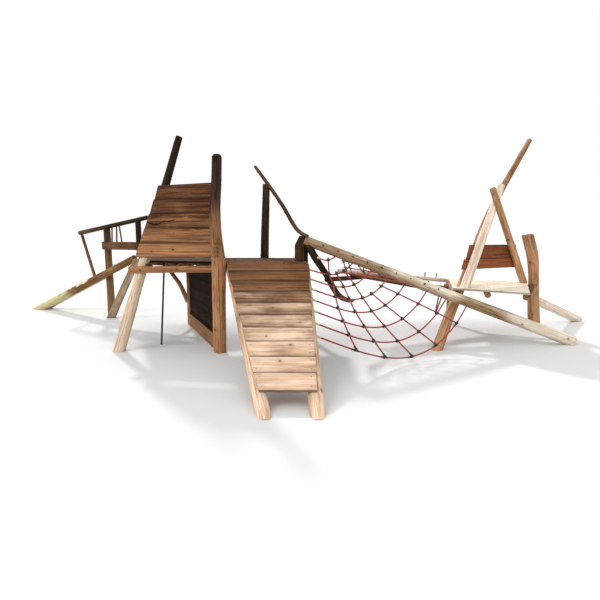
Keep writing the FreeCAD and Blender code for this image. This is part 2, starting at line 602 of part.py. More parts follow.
def wall_boards():
    """The tall tower's front wall: boards let in behind the right post and in front of the left one."""
    boards = []
    for k in range(WALL_BOARDS):
        z = WALL_START_Z + WALL_BOARD_WIDTH / 2 + k * (WALL_BOARD_WIDTH + WALL_BOARD_GAP)
        right, right_dia = TOWER_POST.station(2, z)
        share = LEANING_POST.share_at(2, z)
        left, left_r = LEANING_POST.at(share), LEANING_POST.dia(share) / 2
        depth = BOARD_THICK / 2 - HOUSING
        lean = (LEANING_POST.head - LEANING_POST.foot).x / (LEANING_POST.head - LEANING_POST.foot).z
        boards.append(Plank((right.x + 0.45 * right_dia / 2, right.y + right_dia / 2 + depth, z),
                            (left.x - left_r - 18, left.y - left_r - depth, z), WALL_BOARD_WIDTH, BOARD_THICK,
                            end_skew=-lean * WALL_BOARD_WIDTH / 2))
    return boards


def side_boards():
    """The boarded right side under the tall tower's deck, with a kicking board inside it at the ground."""
    pitch = SIDE_TOP / SIDE_BOARDS
    boards = []
    for k in range(SIDE_BOARDS):
        z = pitch * (k + 0.5) - (0.5 * WALL_BOARD_GAP if k else 0)
        boards.append(Plank((-684, 12, z), (-1540, 1930, z), pitch - WALL_BOARD_GAP, 25))
    way = unit(boards[0].end - boards[0].start)
    inside = V(way.y, -way.x, 0) * -(12.5 + 15 + FIT)
    start, end = boards[0].start + way * 60 + inside, boards[0].end - way * 60 + inside
    kicker = Plank((start.x, start.y, 110), (end.x, end.y, 110), 220, 30)
    return boards, kicker


def board_behind(log_a, log_b, z, overhang_a, overhang_b, width, thick, skew_a, skew_b):
    """A board fixed across the backs of two logs at a height, let into both."""
    spots = []
    for log in (log_a, log_b):
        share = log.share_at(2, z)
        spots.append((log.at(share), log.dia(share) / 2))
    way = unit(spots[1][0] - spots[0][0])
    back = V(-way.y, way.x, 0)
    start, end = [point + back * (radius + thick / 2 - HOUSING) for point, radius in spots]
    run = unit(end - start)
    return Plank(tuple(start - run * overhang_a), tuple(end + run * overhang_b), width, thick,
                 start_skew=skew_a, end_skew=skew_b)


def squared_post(stations, grow=0.0):
    """A squared and tapered post through two stations of (x, y, z, side)."""
    rings = []
    for x, y, z, side in stations:
        h = side / 2 + grow
        rings.append([V(x - h, y - h, z), V(x + h, y - h, z), V(x + h, y + h, z), V(x - h, y + h, z)])
    return skin(rings)


# ---------------------------------------------------------------- bridge ropes and hangers
def bridge_ropes():
    """The loose side net of the bridge: cross ropes between the two beams, and two ropes laid over them."""
    cross, over = [], [[], []]
    for k in range(5):
        near_share = BEAM_UPPER.share_at(0, 1030 + 204 * k)
        near = BEAM_UPPER.at(near_share) - BEAM_FRONT * (BEAM_UPPER.dia(near_share) / 2)
        far_share = 0.07 + 0.155 * k
        far = FAR_BEAM.at(far_share) + unit(V(0.28, -1, 0.1)) * (FAR_BEAM.dia(far_share) / 2)
        span = (far - near).Length
        middle = [mix(near, far, t) + V(0, 0, -BRIDGE_ROPE_SAG * span * 4 * t * (1 - t)) for t in (0.2, 0.4, 0.6, 0.8)]
        route = [near - unit(middle[0] - near) * 20] + middle + [far + unit(far - middle[-1]) * 20]
        cross.append(route)
        for side, (a, b) in enumerate(((middle[0], middle[1]), (middle[2], middle[3]))):
            over[side].append(mix(a, b, 0.5) + V(0, 0, ROPE_DIA + 0.6))
    for line in over:
        line[0] = line[0] + (line[0] - line[1]) * 0.12
        line[-1] = line[-1] + (line[-1] - line[-2]) * 0.12
    return cross, over


def hangers():
    """The straps that hold the near plank of the bridge up to the beam, and the one by the low deck."""
    straps = []
    for beam_x, plank_share in ((1085, 0.02), (1290, 0.15), (1494, 0.29)):
        share = BEAM_UPPER.share_at(0, beam_x)
        low = PLANK_NEAR.at(plank_share) - PLANK_NEAR.up * (PLANK_NEAR.width / 2)
        top = BEAM_UPPER.at(share)
        way = unit(low - top)
        straps.append(Log(tuple(top + way * (BEAM_UPPER.dia(share) / 2 - 14)), tuple(low + way * 14), 14, 14))
    joist_spot = LOW_JOIST_LEFT.at(0.04) + unit(V(-1, 0, 0.6)) * (JOIST_DIA / 2)
    beam_spot = FAR_BEAM.at(0.985)
    way = unit(beam_spot - joist_spot)
    straps.append(Log(tuple(joist_spot - way * 12), tuple(beam_spot), 18, 18))
    return straps


def sling():
    """The two short cords that hold the second rope's last clamp up to the beam."""
    clamp = Crossing(1, len(DOWN_ROWS) - 1)
    cords = []
    for x, side in ((2425, -7), (2478, 7)):
        share = BEAM_UPPER.share_at(0, x)
        top = BEAM_UPPER.at(share)
        foot = clamp.point - clamp.normal * 7 - clamp.down * 16 + clamp.across * side
        way = unit(foot - top)
        cords.append(Log(tuple(top + way * (BEAM_UPPER.dia(share) / 2 - 14)), tuple(foot), 11, 11))
    return cords


# ---------------------------------------------------------------- assembly
pieces = {}


def put(name, *solids):
    """Add solids to a named subcomponent."""
    pieces.setdefault(name, []).extend(solids)


def cut_out(name, *tools):
    """Cut seats or bores into every solid of a named subcomponent."""
    pieces[name] = [housed(solid, *tools) for solid in pieces[name]]


def bolt_up(bolt, *names):
    """Put a bolt in, and bore the subcomponents it holds together."""
    for name in names:
        cut_out(name, bolt.hole())
    put("timber_bolts", bolt.solid())


def tall_tower():
    post_space, lean_space = TOWER_POST.solid(FIT), LEANING_POST.solid(FIT)
    back_space = BACK_RIGHT_POST.solid(FIT)
    rail_space, beam_space = TOWER_RAIL.solid(FIT), TOWER_BACK_BEAM.solid(FIT)
    walls = wall_boards()
    wall_space = [board.solid(FIT) for board in walls]
    put("tower_wall_boards", *[board.solid() for board in walls])
    put("tower_front_rail", TOWER_RAIL.solid())
    put("tower_post_right", housed(on_ground(TOWER_POST.solid(below=150)), rail_space, *wall_space))
    put("tower_post_left", housed(on_ground(LEANING_POST.solid(before=150)), rail_space, *wall_space))
    put("tower_joists", housed(TOWER_JOIST_RIGHT.solid(), rail_space, post_space, beam_space),
        housed(TOWER_JOIST_MID.solid(), rail_space, beam_space),
        housed(TOWER_JOIST_LEFT.solid(), rail_space, lean_space, beam_space), TOWER_BACK_BEAM.solid())
    joist_space = [j.solid(FIT) for j in (TOWER_JOIST_RIGHT, TOWER_JOIST_MID, TOWER_JOIST_LEFT)]
    put("tower_deck_boards", *[housed(board, lean_space, post_space)
                               for board in deck_boards(TOWER_OUTLINE, DECK_HEIGHT, (-1100, 270))])
    put("tower_back_leg", housed(squared_post(TOWER_BACK_LEG), beam_space, *joist_space))
    put("back_legs", housed(BACK_RIGHT_POST.solid(), beam_space, *joist_space))
    sides, kicker = side_boards()
    put("tower_side_boards", *[housed(board.solid(), post_space, back_space) for board in sides + [kicker]])
    put("tower_brace", housed(TOWER_BRACE.solid(), back_space, beam_space, *joist_space))
    under_deck = half_space(V(0, 0, DECK_HEIGHT - BOARD_THICK), V(0, 0, 1))
    put("steel_pole", on_ground(STEEL_POLE.solid(before=40, after=40)).cut(under_deck))


def landing():
    post_space, corner_space = TOWER_POST.solid(FIT), corner_post_solid(FIT)
    beam_space, header_space = LANDING_BEAM.solid(FIT), HEADER.solid(FIT)
    square_space, rail_space = squared_post(LANDING_POST, FIT), HANDRAIL.solid(FIT)
    put("landing_header", housed(HEADER.solid(), post_space, corner_space))
    put("landing_joists", *[housed(joist.solid(), header_space, beam_space) for joist in LANDING_JOISTS])
    put("landing_joists", housed(LANDING_BEAM.solid(), square_space, TOWER_JOIST_RIGHT.solid(FIT)))
    put("landing_deck_boards", *[housed(board, post_space, corner_space, square_space)
                                 for board in deck_boards(LANDING_OUTLINE, DECK_HEIGHT, (1, 0))])
    put("landing_post", housed(squared_post(LANDING_POST), rail_space))
    put("corner_post", housed(corner_post_solid(), rail_space))
    put("handrail_pole", HANDRAIL.solid())
    put("back_legs", housed(LANDING_LEG.solid(), beam_space))


def ramp():
    boards = ramp_boards()
    boards[0] = boards[0].cut(half_space(V(0, RAMP_HEAD_Y, 0), V(0, 1, 0)))
    put("ramp_boards", *[housed(board, TOWER_POST.solid(FIT)) for board in boards])
    put("ramp_stringer_left", housed(stringer_solid(STRINGER_LEFT), TOWER_POST.solid(FIT)))
    put("ramp_stringer_right", housed(stringer_solid(STRINGER_RIGHT), corner_post_solid(FIT)))


def near_beam():
    corner_space, rail_space = corner_post_solid(FIT), HANDRAIL.solid(FIT)
    under = half_space(SCARF_AT, SCARF_UP)
    over = half_space(SCARF_AT + SCARF_UP * FIT, SCARF_UP * -1)
    put("near_beam_upper", housed(BEAM_UPPER.solid(), under, corner_space, rail_space))
    put("near_beam_lower", housed(on_ground(BEAM_LOWER.solid()), over))
    put("branch_brace", housed(BRANCH.solid(), corner_space, BEAM_UPPER.solid(FIT), BEAM_UPPER.solid(FIT)))
    for bolt in beam_bolts():
        for name in ("near_beam_upper", "near_beam_lower"):
            cut_out(name, bolt.hole())
        put("net_beam_bolts", bolt.solid())
    for bolt in scarf_bolts():
        bolt_up(bolt, "near_beam_upper", "near_beam_lower")


def bridge():
    branch_space, far_space = BRANCH.solid(FIT), FAR_BEAM.solid(FIT)
    joist_space = LOW_JOIST_LEFT.solid(FIT)
    put("bridge_sill", housed(SILL.solid(), branch_space, far_space))
    put("far_beam", housed(FAR_BEAM.solid(), joist_space))
    sill_space = SILL.solid(FIT)
    for share in (0.78, 0.892):
        foot = FAR_BEAM.at(share)
        peg = Log(tuple(foot + V(0, 0, 10)), tuple(foot + V(6, 0, 118)), 30, 26)
        cut_out("far_beam", peg.solid(FIT))
        put("far_beam", peg.solid())
    put("bridge_planks", *[housed(plank.solid(), sill_space, joist_space, far_space)
                          for plank in (PLANK_NEAR, PLANK_BACK)])
    for strap in hangers():
        for name in ("near_beam_upper", "bridge_planks", "far_beam", "platform_joists", "platform_deck_boards"):
            cut_out(name, strap.solid(FIT))
        put("bridge_hangers", strap.solid())
    cross, over = bridge_ropes()
    for route in cross:
        bore = [rope_hole(60, route[0] - unit(route[1] - route[0]) * 3, route[1] - route[0]),
                rope_hole(60, route[-1] + unit(route[-1] - route[-2]) * 3, route[-2] - route[-1])]
        cut_out("near_beam_upper", bore[0])
        cut_out("far_beam", bore[1])
        put("bridge_net_ropes", rope(route, bend=200))
    put("bridge_net_ropes", *[rope(route, bend=200) for route in over])


def low_tower():
    leg_space, bowed_space = LONG_LEG.solid(FIT), BOWED_POST.solid(FIT)
    beam_space = LOW_BACK_BEAM.solid(FIT)
    backs = [board_behind(LIGHT_LOG, CROSSING_LOG, LOW_DECK_HEIGHT + 338, 125, 150, 146, 28, -22, 24),
             board_behind(LIGHT_LOG, CROSSING_LOG, LOW_DECK_HEIGHT + 517.5, 112, 140, 205, 28, -30, 30)]
    back_space = [board.solid(FIT) for board in backs]
    on_deck = half_space(V(0, 0, LOW_DECK_HEIGHT), V(0, 0, -1))
    light = housed(LIGHT_LOG.solid(before=60), on_deck, *back_space)
    put("platform_back_boards", *[board.solid() for board in backs])
    put("platform_crossing_log", housed(CROSSING_LOG.solid(before=60), on_deck, *back_space))
    put("platform_light_log", housed(light, CROSSING_LOG.solid(FIT)))
    put("platform_long_leg", housed(on_ground(LONG_LEG.solid(below=150)), *back_space))
    put("platform_curved_post", on_ground(BOWED_POST.solid(below=60)))
    put("platform_joists", housed(LOW_JOIST_LEFT.solid(), leg_space, beam_space),
        housed(LOW_JOIST_MID.solid(), beam_space), housed(LOW_JOIST_RIGHT.solid(), bowed_space, beam_space),
        housed(LOW_BACK_BEAM.solid(), bowed_space))
    put("platform_deck_boards", *[housed(board, leg_space, bowed_space)
                                  for board in deck_boards(LOW_OUTLINE, LOW_DECK_HEIGHT, (839, -581))])
    put("back_legs", housed(LOW_BACK_LEG.solid(), beam_space))
    put("far_right_log", housed(on_ground(FAR_RIGHT_LOG.solid()), bowed_space))


def balance_rail():
    post_space, newel_space = RAIL_POST.solid(FIT), NEWEL.solid(FIT)
    rail_space, log_space = TOP_RAIL.solid(FIT), BALANCE_FRONT.solid(FIT)
    way = unit(NEWEL.foot - V(RAIL_POST.foot.x, RAIL_POST.foot.y, DECK_HEIGHT))
    front = V(way.y, -way.x, 0)
    share = RAIL_POST.share_at(2, 1390)
    start = RAIL_POST.at(share) + front * (RAIL_POST.dia(share) / 2 + 7) - way * 70
    end = NEWEL.at(0.2) + front * (NEWEL.dia(0.2) / 2 + 7) + way * 55
    board = Plank((start.x, start.y, 1390), (end.x, end.y, 1390), 155, 30)
    board_space = board.solid(FIT)
    put("rail_lower_board", board.solid())
    put("rail_posts", housed(RAIL_POST.solid(), log_space, rail_space, board_space),
        housed(NEWEL.solid(), rail_space, board_space))
    put("rail_top_log", TOP_RAIL.solid())
    for along, lean in ((190, 0), (330, 0), (520, -120)):
        foot = board.start + way * (70 + along) - front * (15 + 12) + V(0, 0, -60)
        share = TOP_RAIL.share_at(0, foot.x + way.x * lean)
        slat = Log(tuple(foot), tuple(TOP_RAIL.at(share)), 30, 28)
        put("rail_slats", housed(slat.solid(), board_space, rail_space))
    strut = Log((-3730, 3038, 730), (-4160, 3473, 1640), 64, 58)
    put("rail_slats", housed(strut.solid(), log_space, rail_space))
    deck_space = TOWER_BACK_BEAM.solid(FIT)
    put("balance_logs", housed(on_ground(BALANCE_FRONT.solid()), deck_space, TOWER_JOIST_LEFT.solid(FIT)),
        housed(on_ground(BALANCE_BACK.solid()), post_space))


def net():
    for row in range(ACROSS_ROPES):
        put("net_rope_across_%d" % (row + 1), rope(across_route(row)))
        put("net_end_sleeves", ferrule(row))
        ramp_side = "branch_brace" if row == ACROSS_ROPES - 1 else "ramp_stringer_right"
        cut_out(ramp_side, *end_holes(row, False))
        for name in ("near_beam_upper", "near_beam_lower"):
            cut_out(name, *end_holes(row, True))
    for column, rows in enumerate(DOWN_ROWS):
        put("net_rope_down_%d" % (column + 1), rope(down_route(column)))
        put("net_edge_sleeves", edge_sleeve(Crossing(0, column)))
        put("net_cross_clamps", *[cross_clamp(Crossing(row, column)) for row in range(1, rows)])
    left, right = sling()
    for cord in (left, right):
        for name in ("near_beam_upper", "near_beam_lower", "net_cross_clamps"):
            cut_out(name, cord.solid(FIT))
    put("net_sling", left.solid(), housed(right.solid(), left.solid(FIT)))


def fixings():
    """The through bolts that can be seen on the frame."""
    height = DECK_HEIGHT - 122
    share = LEANING_POST.share_at(2, height)
    spot = LEANING_POST.at(share)
    rail = TOWER_RAIL.at(0.885)
    bolt_up(Bolt((spot.x + 10, rail.y - 20, height),
                 (spot.x + 10, spot.y + LEANING_POST.dia(share) / 2 - 4, height)),
            "tower_front_rail", "tower_post_left")
    bolt_up(bolt_between(LONG_LEG.station(2, 730)[0], 140, LOW_JOIST_LEFT.at(0.075), JOIST_DIA, nut_seat=24),
            "platform_long_leg", "platform_joists")
    share = BALANCE_FRONT.share_at(0, -3436)
    spot = BALANCE_FRONT.at(share)
    bolt_up(bolt_between(spot, BALANCE_FRONT.dia(share), V(-3440, 3050, spot.z), 140), "balance_logs", "rail_posts")


tall_tower()
landing()
ramp()
near_beam()
low_tower()
bridge()
balance_rail()
net()
fixings()

# ---------------------------------------------------------------- move to the middle of the footprint, export
shapes = {name: Part.makeCompound(solids) for name, solids in pieces.items()}
whole = FreeCAD.BoundBox()
for shape in shapes.values():
    whole.add(shape.optimalBoundingBox(False))
shift = V(-(whole.XMin + whole.XMax) / 2, -(whole.YMin + whole.YMax) / 2, 0)
os.makedirs("parts", exist_ok=True)
for name, shape in shapes.items():
    shape.translate(shift)
    shape.exportStep("parts/" + name + ".step")
print("subcomponents", len(shapes), "size", round(whole.XLength), round(whole.YLength), round(whole.ZLength),
      "shift", round(shift.x, 1), round(shift.y, 1), round(shift.z, 1))
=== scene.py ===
import logging
import math
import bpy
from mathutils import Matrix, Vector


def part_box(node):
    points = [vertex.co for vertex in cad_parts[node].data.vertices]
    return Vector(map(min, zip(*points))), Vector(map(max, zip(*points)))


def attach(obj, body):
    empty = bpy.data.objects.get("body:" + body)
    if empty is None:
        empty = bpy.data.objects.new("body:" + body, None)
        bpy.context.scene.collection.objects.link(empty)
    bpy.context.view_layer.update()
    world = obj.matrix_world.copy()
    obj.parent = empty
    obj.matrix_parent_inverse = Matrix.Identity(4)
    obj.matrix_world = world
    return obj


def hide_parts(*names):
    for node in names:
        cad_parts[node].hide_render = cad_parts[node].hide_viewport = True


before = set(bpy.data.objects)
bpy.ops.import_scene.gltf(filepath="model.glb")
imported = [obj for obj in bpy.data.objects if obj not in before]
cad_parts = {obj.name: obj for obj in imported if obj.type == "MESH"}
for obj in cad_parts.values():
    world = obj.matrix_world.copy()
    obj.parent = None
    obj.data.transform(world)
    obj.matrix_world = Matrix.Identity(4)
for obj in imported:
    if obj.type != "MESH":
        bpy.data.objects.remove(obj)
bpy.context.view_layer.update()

import zlib
from dataclasses import dataclass, field
from enum import Enum
from typing import Callable, Iterable, Optional, Sequence, Union

import bpy
import numpy as np
from mathutils import Vector

# Dressed model of a free-standing timber climbing frame with a rope cargo net. Lengths are millimetres in
# the frame's own setting-out (from the middle of the ramp's head at ground level) until a mesh is made;
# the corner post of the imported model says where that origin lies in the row's frame.

log = logging.getLogger("climbing_frame")

Array = np.ndarray
Floats = tuple[float, ...]
Pairs = tuple[tuple[float, float], ...]

# ---- setting-out
MM = 0.001
CORNER_POST_AT = np.array([460.0, 150.0])
CORNER_POST_TURN = -30.0
CORNER_POST_SIZE = (150.0, 120.0, 1590.0)
DECK_HEIGHT, LOW_DECK_HEIGHT = 1240.0, 830.0
BOARD_THICK, BOARD_GAP, DECK_BOARD_WIDTH = 30.0, 6.0, 140.0
SCREW_OFF, SCREW_PROUD = 38.0, 0.3  # from a deck board's middle line, and above its face
HOUSING = 8.0  # how deep a board sits in a log
RAMP_RUN, RAMP_HEAD_Y = 2420.0, -20.0
STRINGER_HEAD_DIA, STRINGER_FOOT_DIA, STRINGER_FLAT = 130.0, 148.0, 6.0
BEAM_SCARF_X, BEAM_SCARF_TILT = 2310.0, 11.0
ROPE_DIA, LAID_DIA, ROPE_BITE = 18.0, 20.0, 26.0
BEAM_ANCHORS = (2815.0, 2515.0, 2225.0, 1920.0, 1680.0, 1435.0, 1175.0, 935.0)
DOWN_ROWS = (8, 7, 7, 5, 5)  # how many ropes across each rope down passes over
JOIST_DIA = 90.0
JOIST_Z = DECK_HEIGHT - BOARD_THICK - JOIST_DIA / 2
LOW_JOIST_Z = LOW_DECK_HEIGHT - BOARD_THICK - JOIST_DIA / 2
UP = np.array([0.0, 0.0, 1.0])


CORNER_LOW, CORNER_HIGH = (np.array(corner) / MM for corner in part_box("corner_post"))
SHIFT = (CORNER_LOW + CORNER_HIGH) / 2 * [1, 1, 0] - [*CORNER_POST_AT, 0]


def vec(*values: float) -> Array:
    """A point or direction as an array of floats."""
    return np.array(values, dtype=float)


def unit(vector: Array) -> Array:
    """The vector, or each row of an array of vectors, divided by its own length."""
    return vector / np.linalg.norm(vector, axis=-1, keepdims=True)


def mix(a: Array | float, b: Array | float, share: Array | float) -> Array | float:
    """The value a share of the way from a to b, for numbers and arrays alike."""
    return a + (b - a) * share


def to_row(points: Array) -> Array:
    """Points in the row's frame, in metres."""
    return (points + SHIFT) * MM


def seeded(name: str) -> np.random.RandomState:
    """A random generator that depends on a piece's name alone."""
    return np.random.RandomState(zlib.crc32(name.encode()) % 2**31)


# ---- finishes
def rgb(code: str) -> tuple[float, float, float, float]:
    """An sRGB hex code as a linear colour: c / 12.92, or ((c + 0.055) / 1.055) to the power 2.4, and alpha."""
    parts = (int(code[k:k + 2], 16) / 255 for k in (0, 2, 4))
    return (*(p / 12.92 if p <= 0.04045 else ((p + 0.055) / 1.055) ** 2.4 for p in parts), 1.0)


class Signal:
    """The output of a node. Arithmetic with it adds Math nodes to the same graph."""

    def __init__(self, graph: "Graph", socket: bpy.types.NodeSocket) -> None:
        """Keep the output and the graph that it belongs to."""
        self.graph = graph
        self.socket = socket

    def __add__(self, other: "Value") -> "Signal":
        """The sum of both."""
        return self.graph.math("ADD", self, other)

    def __sub__(self, other: "Value") -> "Signal":
        """What is left when the other is taken away."""
        return self.graph.math("SUBTRACT", self, other)

    def __rsub__(self, other: float) -> "Signal":
        """What is left of a number when the signal is taken away."""
        return self.graph.math("SUBTRACT", other, self)

    def __mul__(self, other: "Value") -> "Signal":
        """The product of both."""
        return self.graph.math("MULTIPLY", self, other)

    def __abs__(self) -> "Signal":
        """The size without its sign."""
        return self.graph.math("ABSOLUTE", self)


Value = Union[Signal, float, tuple]


class Graph:
    """A material's nodes, written as short expressions."""

    def __init__(self, name: str) -> None:
        """Start a material with nothing but its surface shader.

        Args:
            name: the material's.
        """
        self.material = bpy.data.materials.new(name)
        self.material.use_nodes = True
        self.tree = self.material.node_tree
        self.shader = self.tree.nodes["Principled BSDF"]

    def node(self, kind: str, inputs: Optional[dict[int | str, Value]] = None, **settings: object) -> bpy.types.Node:
        """Add a node.

        Args:
            kind: its type without "ShaderNode".
            inputs: what goes into it, by name or number.
            settings: its own properties.

        Returns:
            The new node.
        """
        made = self.tree.nodes.new("ShaderNode" + kind)
        for key, value in settings.items():
            setattr(made, key, value)
        for key, value in (inputs or {}).items():
            self.feed(made.inputs[key], value)
        return made

    def out(self, node: bpy.types.Node, key: int | str = 0) -> Signal:
        """The signal of one of a node's outputs."""
        return Signal(self, node.outputs[key])

    def feed(self, socket: bpy.types.NodeSocket, value: Value) -> None:
        """Link an input to a signal, or set its own value.

        Args:
            socket: the input.
            value: the signal, number or colour that goes in.
        """
        if isinstance(value, Signal):
            self.tree.links.new(value.socket, socket)
        else:
            socket.default_value = value

    def math(self, operation: str, a: Value, b: Value = 0.0, clamp: bool = False) -> Signal:
        """One step of arithmetic between a and b."""
        return self.out(self.node("Math", {0: a, 1: b}, operation=operation, use_clamp=clamp))

    def vector(self, operation: str, a: Value, b: Value = (0.0, 0.0, 0.0), key: int | str = 0) -> Signal:
        """One step of vector arithmetic between a and b."""
        return self.out(self.node("VectorMath", {0: a, 1: b}, operation=operation), key)

    def between(self, value: Value, low: float, high: float, smooth: bool = True) -> Signal:
        """A factor from 0 at low to 1 at high, also where low is the larger one.

        Args:
            value: what is measured.
            low: where the factor is 0.
            high: where it is 1.
            smooth: eased as three t squared minus two t cubed, or else straight.

        Returns:
            The factor.
        """
        ends = (low, high, 0.0, 1.0) if low < high else (high, low, 1.0, 0.0)
        return self.out(self.node("MapRange", {"Value": value, **dict(zip(range(1, 5), ends))},
                                  interpolation_type="SMOOTHSTEP" if smooth else "LINEAR"), "Result")

    def mix(self, factor: Value, a: Value, b: Value, blend: str = "MIX") -> Signal:
        """The colour a factor of the way from a to b, laid over a as blend says."""
        return self.out(self.node("Mix", {0: factor, 6: a, 7: b}, data_type="RGBA", blend_type=blend), 2)

    def noise(self, vector: Value, scale: float, detail: float = 3.0, rough: float = 0.55) -> Signal:
        """A noise between 0 and 1 at a scale, with octaves of detail."""
        return self.out(self.node("TexNoise", {"Vector": vector, "Scale": scale, "Detail": detail,
                                               "Roughness": rough}))

    def stretched(self, vector: Value, x: float, y: float, z: float) -> Signal:
        """A vector times x, y and z along its own axes."""
        return self.vector("MULTIPLY", vector, (x, y, z))

    def radius(self, x: Value, y: Value) -> Signal:
        """The root of x squared plus y squared."""
        return self.vector("LENGTH", self.out(self.node("CombineXYZ", {0: x, 1: y})), key="Value")

    def attribute(self, name: str) -> Signal:
        """The vector that each vertex stores under a name."""
        return self.out(self.node("Attribute", attribute_name=name), "Vector")

    def split(self, value: Value, kind: str = "SeparateXYZ") -> tuple[Signal, Signal, Signal]:
        """The three parts of a vector or colour."""
        made = self.node(kind, {0: value})
        return self.out(made, 0), self.out(made, 1), self.out(made, 2)

    def bump(self, height: Value, strength: float, distance: float, normal: Optional[Signal] = None) -> Signal:
        """The surface's direction on a relief of this height times distance, laid over another one if given."""
        inputs = {"Height": height, "Strength": strength, "Distance": distance}
        return self.out(self.node("Bump", inputs if normal is None else {**inputs, "Normal": normal}))

    def finish(self, colour: Value, rough: Value, normal: Signal, **constants: float) -> bpy.types.Material:
        """Wire the shader up.

        Args:
            colour: its colour.
            rough: its roughness.
            normal: its relief.
            constants: other inputs, with _ for a space.

        Returns:
            The material.
        """
        self.feed(self.shader.inputs["Base Color"], colour)
        self.feed(self.shader.inputs["Roughness"], rough)
        self.feed(self.shader.inputs["Normal"], normal)
        for key, value in constants.items():
            self.shader.inputs[key.replace("_", " ")].default_value = value
        return self.material


@dataclass(frozen=True)
class WoodLook:
    """Solid wood: light and dark grain where its shade is 0, and again where it is 1."""

    slot: str
    pale: tuple[str, str]
    deep: tuple[str, str]
    contrast: float = 0.7  # how strongly the grain shows
    silver: float = 0.15  # how far the weather has greyed it
    rings: float = 210.0  # year rings per metre
    knot: str = "3B2415"
    grey: str = "9A9184"
    check: str = "2A1B12"  # in hair-thin drying checks
    gap: str = "160E09"  # in open cracks

    def material(self, name: str) -> bpy.types.Material:
        """The wood, from a mesh's own attributes grain, knot, crack and finish.

        Args:
            name: the material's name.

        Returns:
            The material.
        """
        g = Graph(name)
        place = g.attribute("grain")
        knot_x, knot_y, knot_near = g.split(g.attribute("knot"))
        finish = g.node("Attribute", attribute_name="finish")
        shade, tone, wear = g.split(g.out(finish, "Color"), "SeparateColor")
        end = g.out(finish, "Alpha")

        reach = g.radius(knot_x, knot_y)
        near = g.between(knot_near, 0.02, 0.25)
        heart = g.between(reach, 1.05, 0.7) * near
        halo = g.between(reach, 3.4, 0.6) * near
        fibre = g.noise(g.stretched(place, 260, 260, 5.5), 1.0, 4.0, 0.65)
        broad = g.noise(g.stretched(place, 15, 15, 1.6), 1.0, 3.0, 0.6)
        patch = g.noise(g.stretched(place, 5, 5, 2.2), 1.0, 4.0, 0.6)
        streak = g.noise(g.stretched(place, 46, 46, 0.9), 1.0, 3.0, 0.6)
        hair = g.noise(g.stretched(place, 110, 110, 1.7), 1.0, 2.0, 0.5)
        # Year rings: the sine of the distance from the pith, which wanders and bends round knots.
        wander = g.noise(g.stretched(place, 9, 9, 1.3), 1.0, 2.0)
        bent = g.radius(*g.split(place)[:2]) + wander * 0.034 + halo * 0.016
        rings = g.between(g.math("SINE", bent * (self.rings * 2 * math.pi)), -0.6, 1.0)
        sound = g.math("MAXIMUM", g.between(abs(hair - 0.5), 0.0, 0.012), g.between(patch, 0.56, 0.44))
        checks = 1.0 - sound
        # Open cracks: lenses along the grain with frayed lips, and rays on end grain.
        spoke = g.vector("NORMALIZE", g.stretched(place, 1, 1, 0))
        rays = g.between(abs(g.noise(spoke, 9.0, 2.0) - 0.5), 0.022, 0.004) * end
        across, along, crack_near = g.split(g.attribute("crack"))
        half = g.math("SQRT", g.math("MAXIMUM", 1.0 - g.math("POWER", along, 2.0), 0.0))
        ragged = abs(across) + (fibre - 0.5) * 0.9
        gape = g.between(ragged - half, 0.0, -0.35) * g.between(crack_near, 0.02, 0.3)
        opening = g.math("MAXIMUM", gape, rays, clamp=True)

        figure = rings * 0.3 + fibre * 0.4 + (broad - 0.5) * 1.3 + (streak - 0.5) * 2.6
        figure = g.between(figure * (self.contrast * 1.35), 0.0, 0.95, smooth=False)
        pale = g.mix(figure, rgb(self.pale[0]), rgb(self.pale[1]))
        deep = g.mix(figure, rgb(self.deep[0]), rgb(self.deep[1]))
        # The unevenness fades where a piece is wholly pale or wholly dark, so that those stay clean.
        room = shade * (1.0 - shade) * 4.0
        uneven = (patch - 0.5) * 0.9 * (room + 0.22)
        colour = g.mix(g.between(shade + uneven, 0.04, 0.92), pale, deep)
        colour = g.mix(g.between(broad, 0.48, 0.72) * self.silver * (1.0 - shade), colour, rgb(self.grey))
        colour = g.mix(wear * g.between(fibre, 0.3, 0.75), colour, rgb(self.pale[0]))
        colour = g.mix(halo * 0.3, colour, rgb(self.deep[0]))
        knot_rings = g.between(g.math("SINE", reach * 16.0), -1.0, 1.0)
        colour = g.mix(heart * 0.7, colour, g.mix(knot_rings, rgb(self.knot), rgb(self.deep[1])))
        colour = g.mix(checks * 0.55, colour, rgb(self.check))
        colour = g.mix(opening * 0.9, colour, rgb(self.gap))
        colour = g.mix(end * 0.35, colour, rgb(self.deep[0]))
        colour = g.mix(1.0, colour, g.out(g.node("CombineColor", {0: tone, 1: tone, 2: tone})), "MULTIPLY")

        normal = g.bump(g.noise(g.stretched(place, 32, 32, 11), 1.0, 3.0), 0.35, 0.004)
        normal = g.bump(fibre * 0.55 + rings * 0.25 - checks * 0.5, 0.6, 0.0011, normal)
        normal = g.bump(heart * 0.3 - opening, 0.9, 0.006, normal)
        rough = fibre * 0.22 + 0.6 - wear * 0.12
        return g.finish(colour, rough, normal, Specular_IOR_Level=0.02)


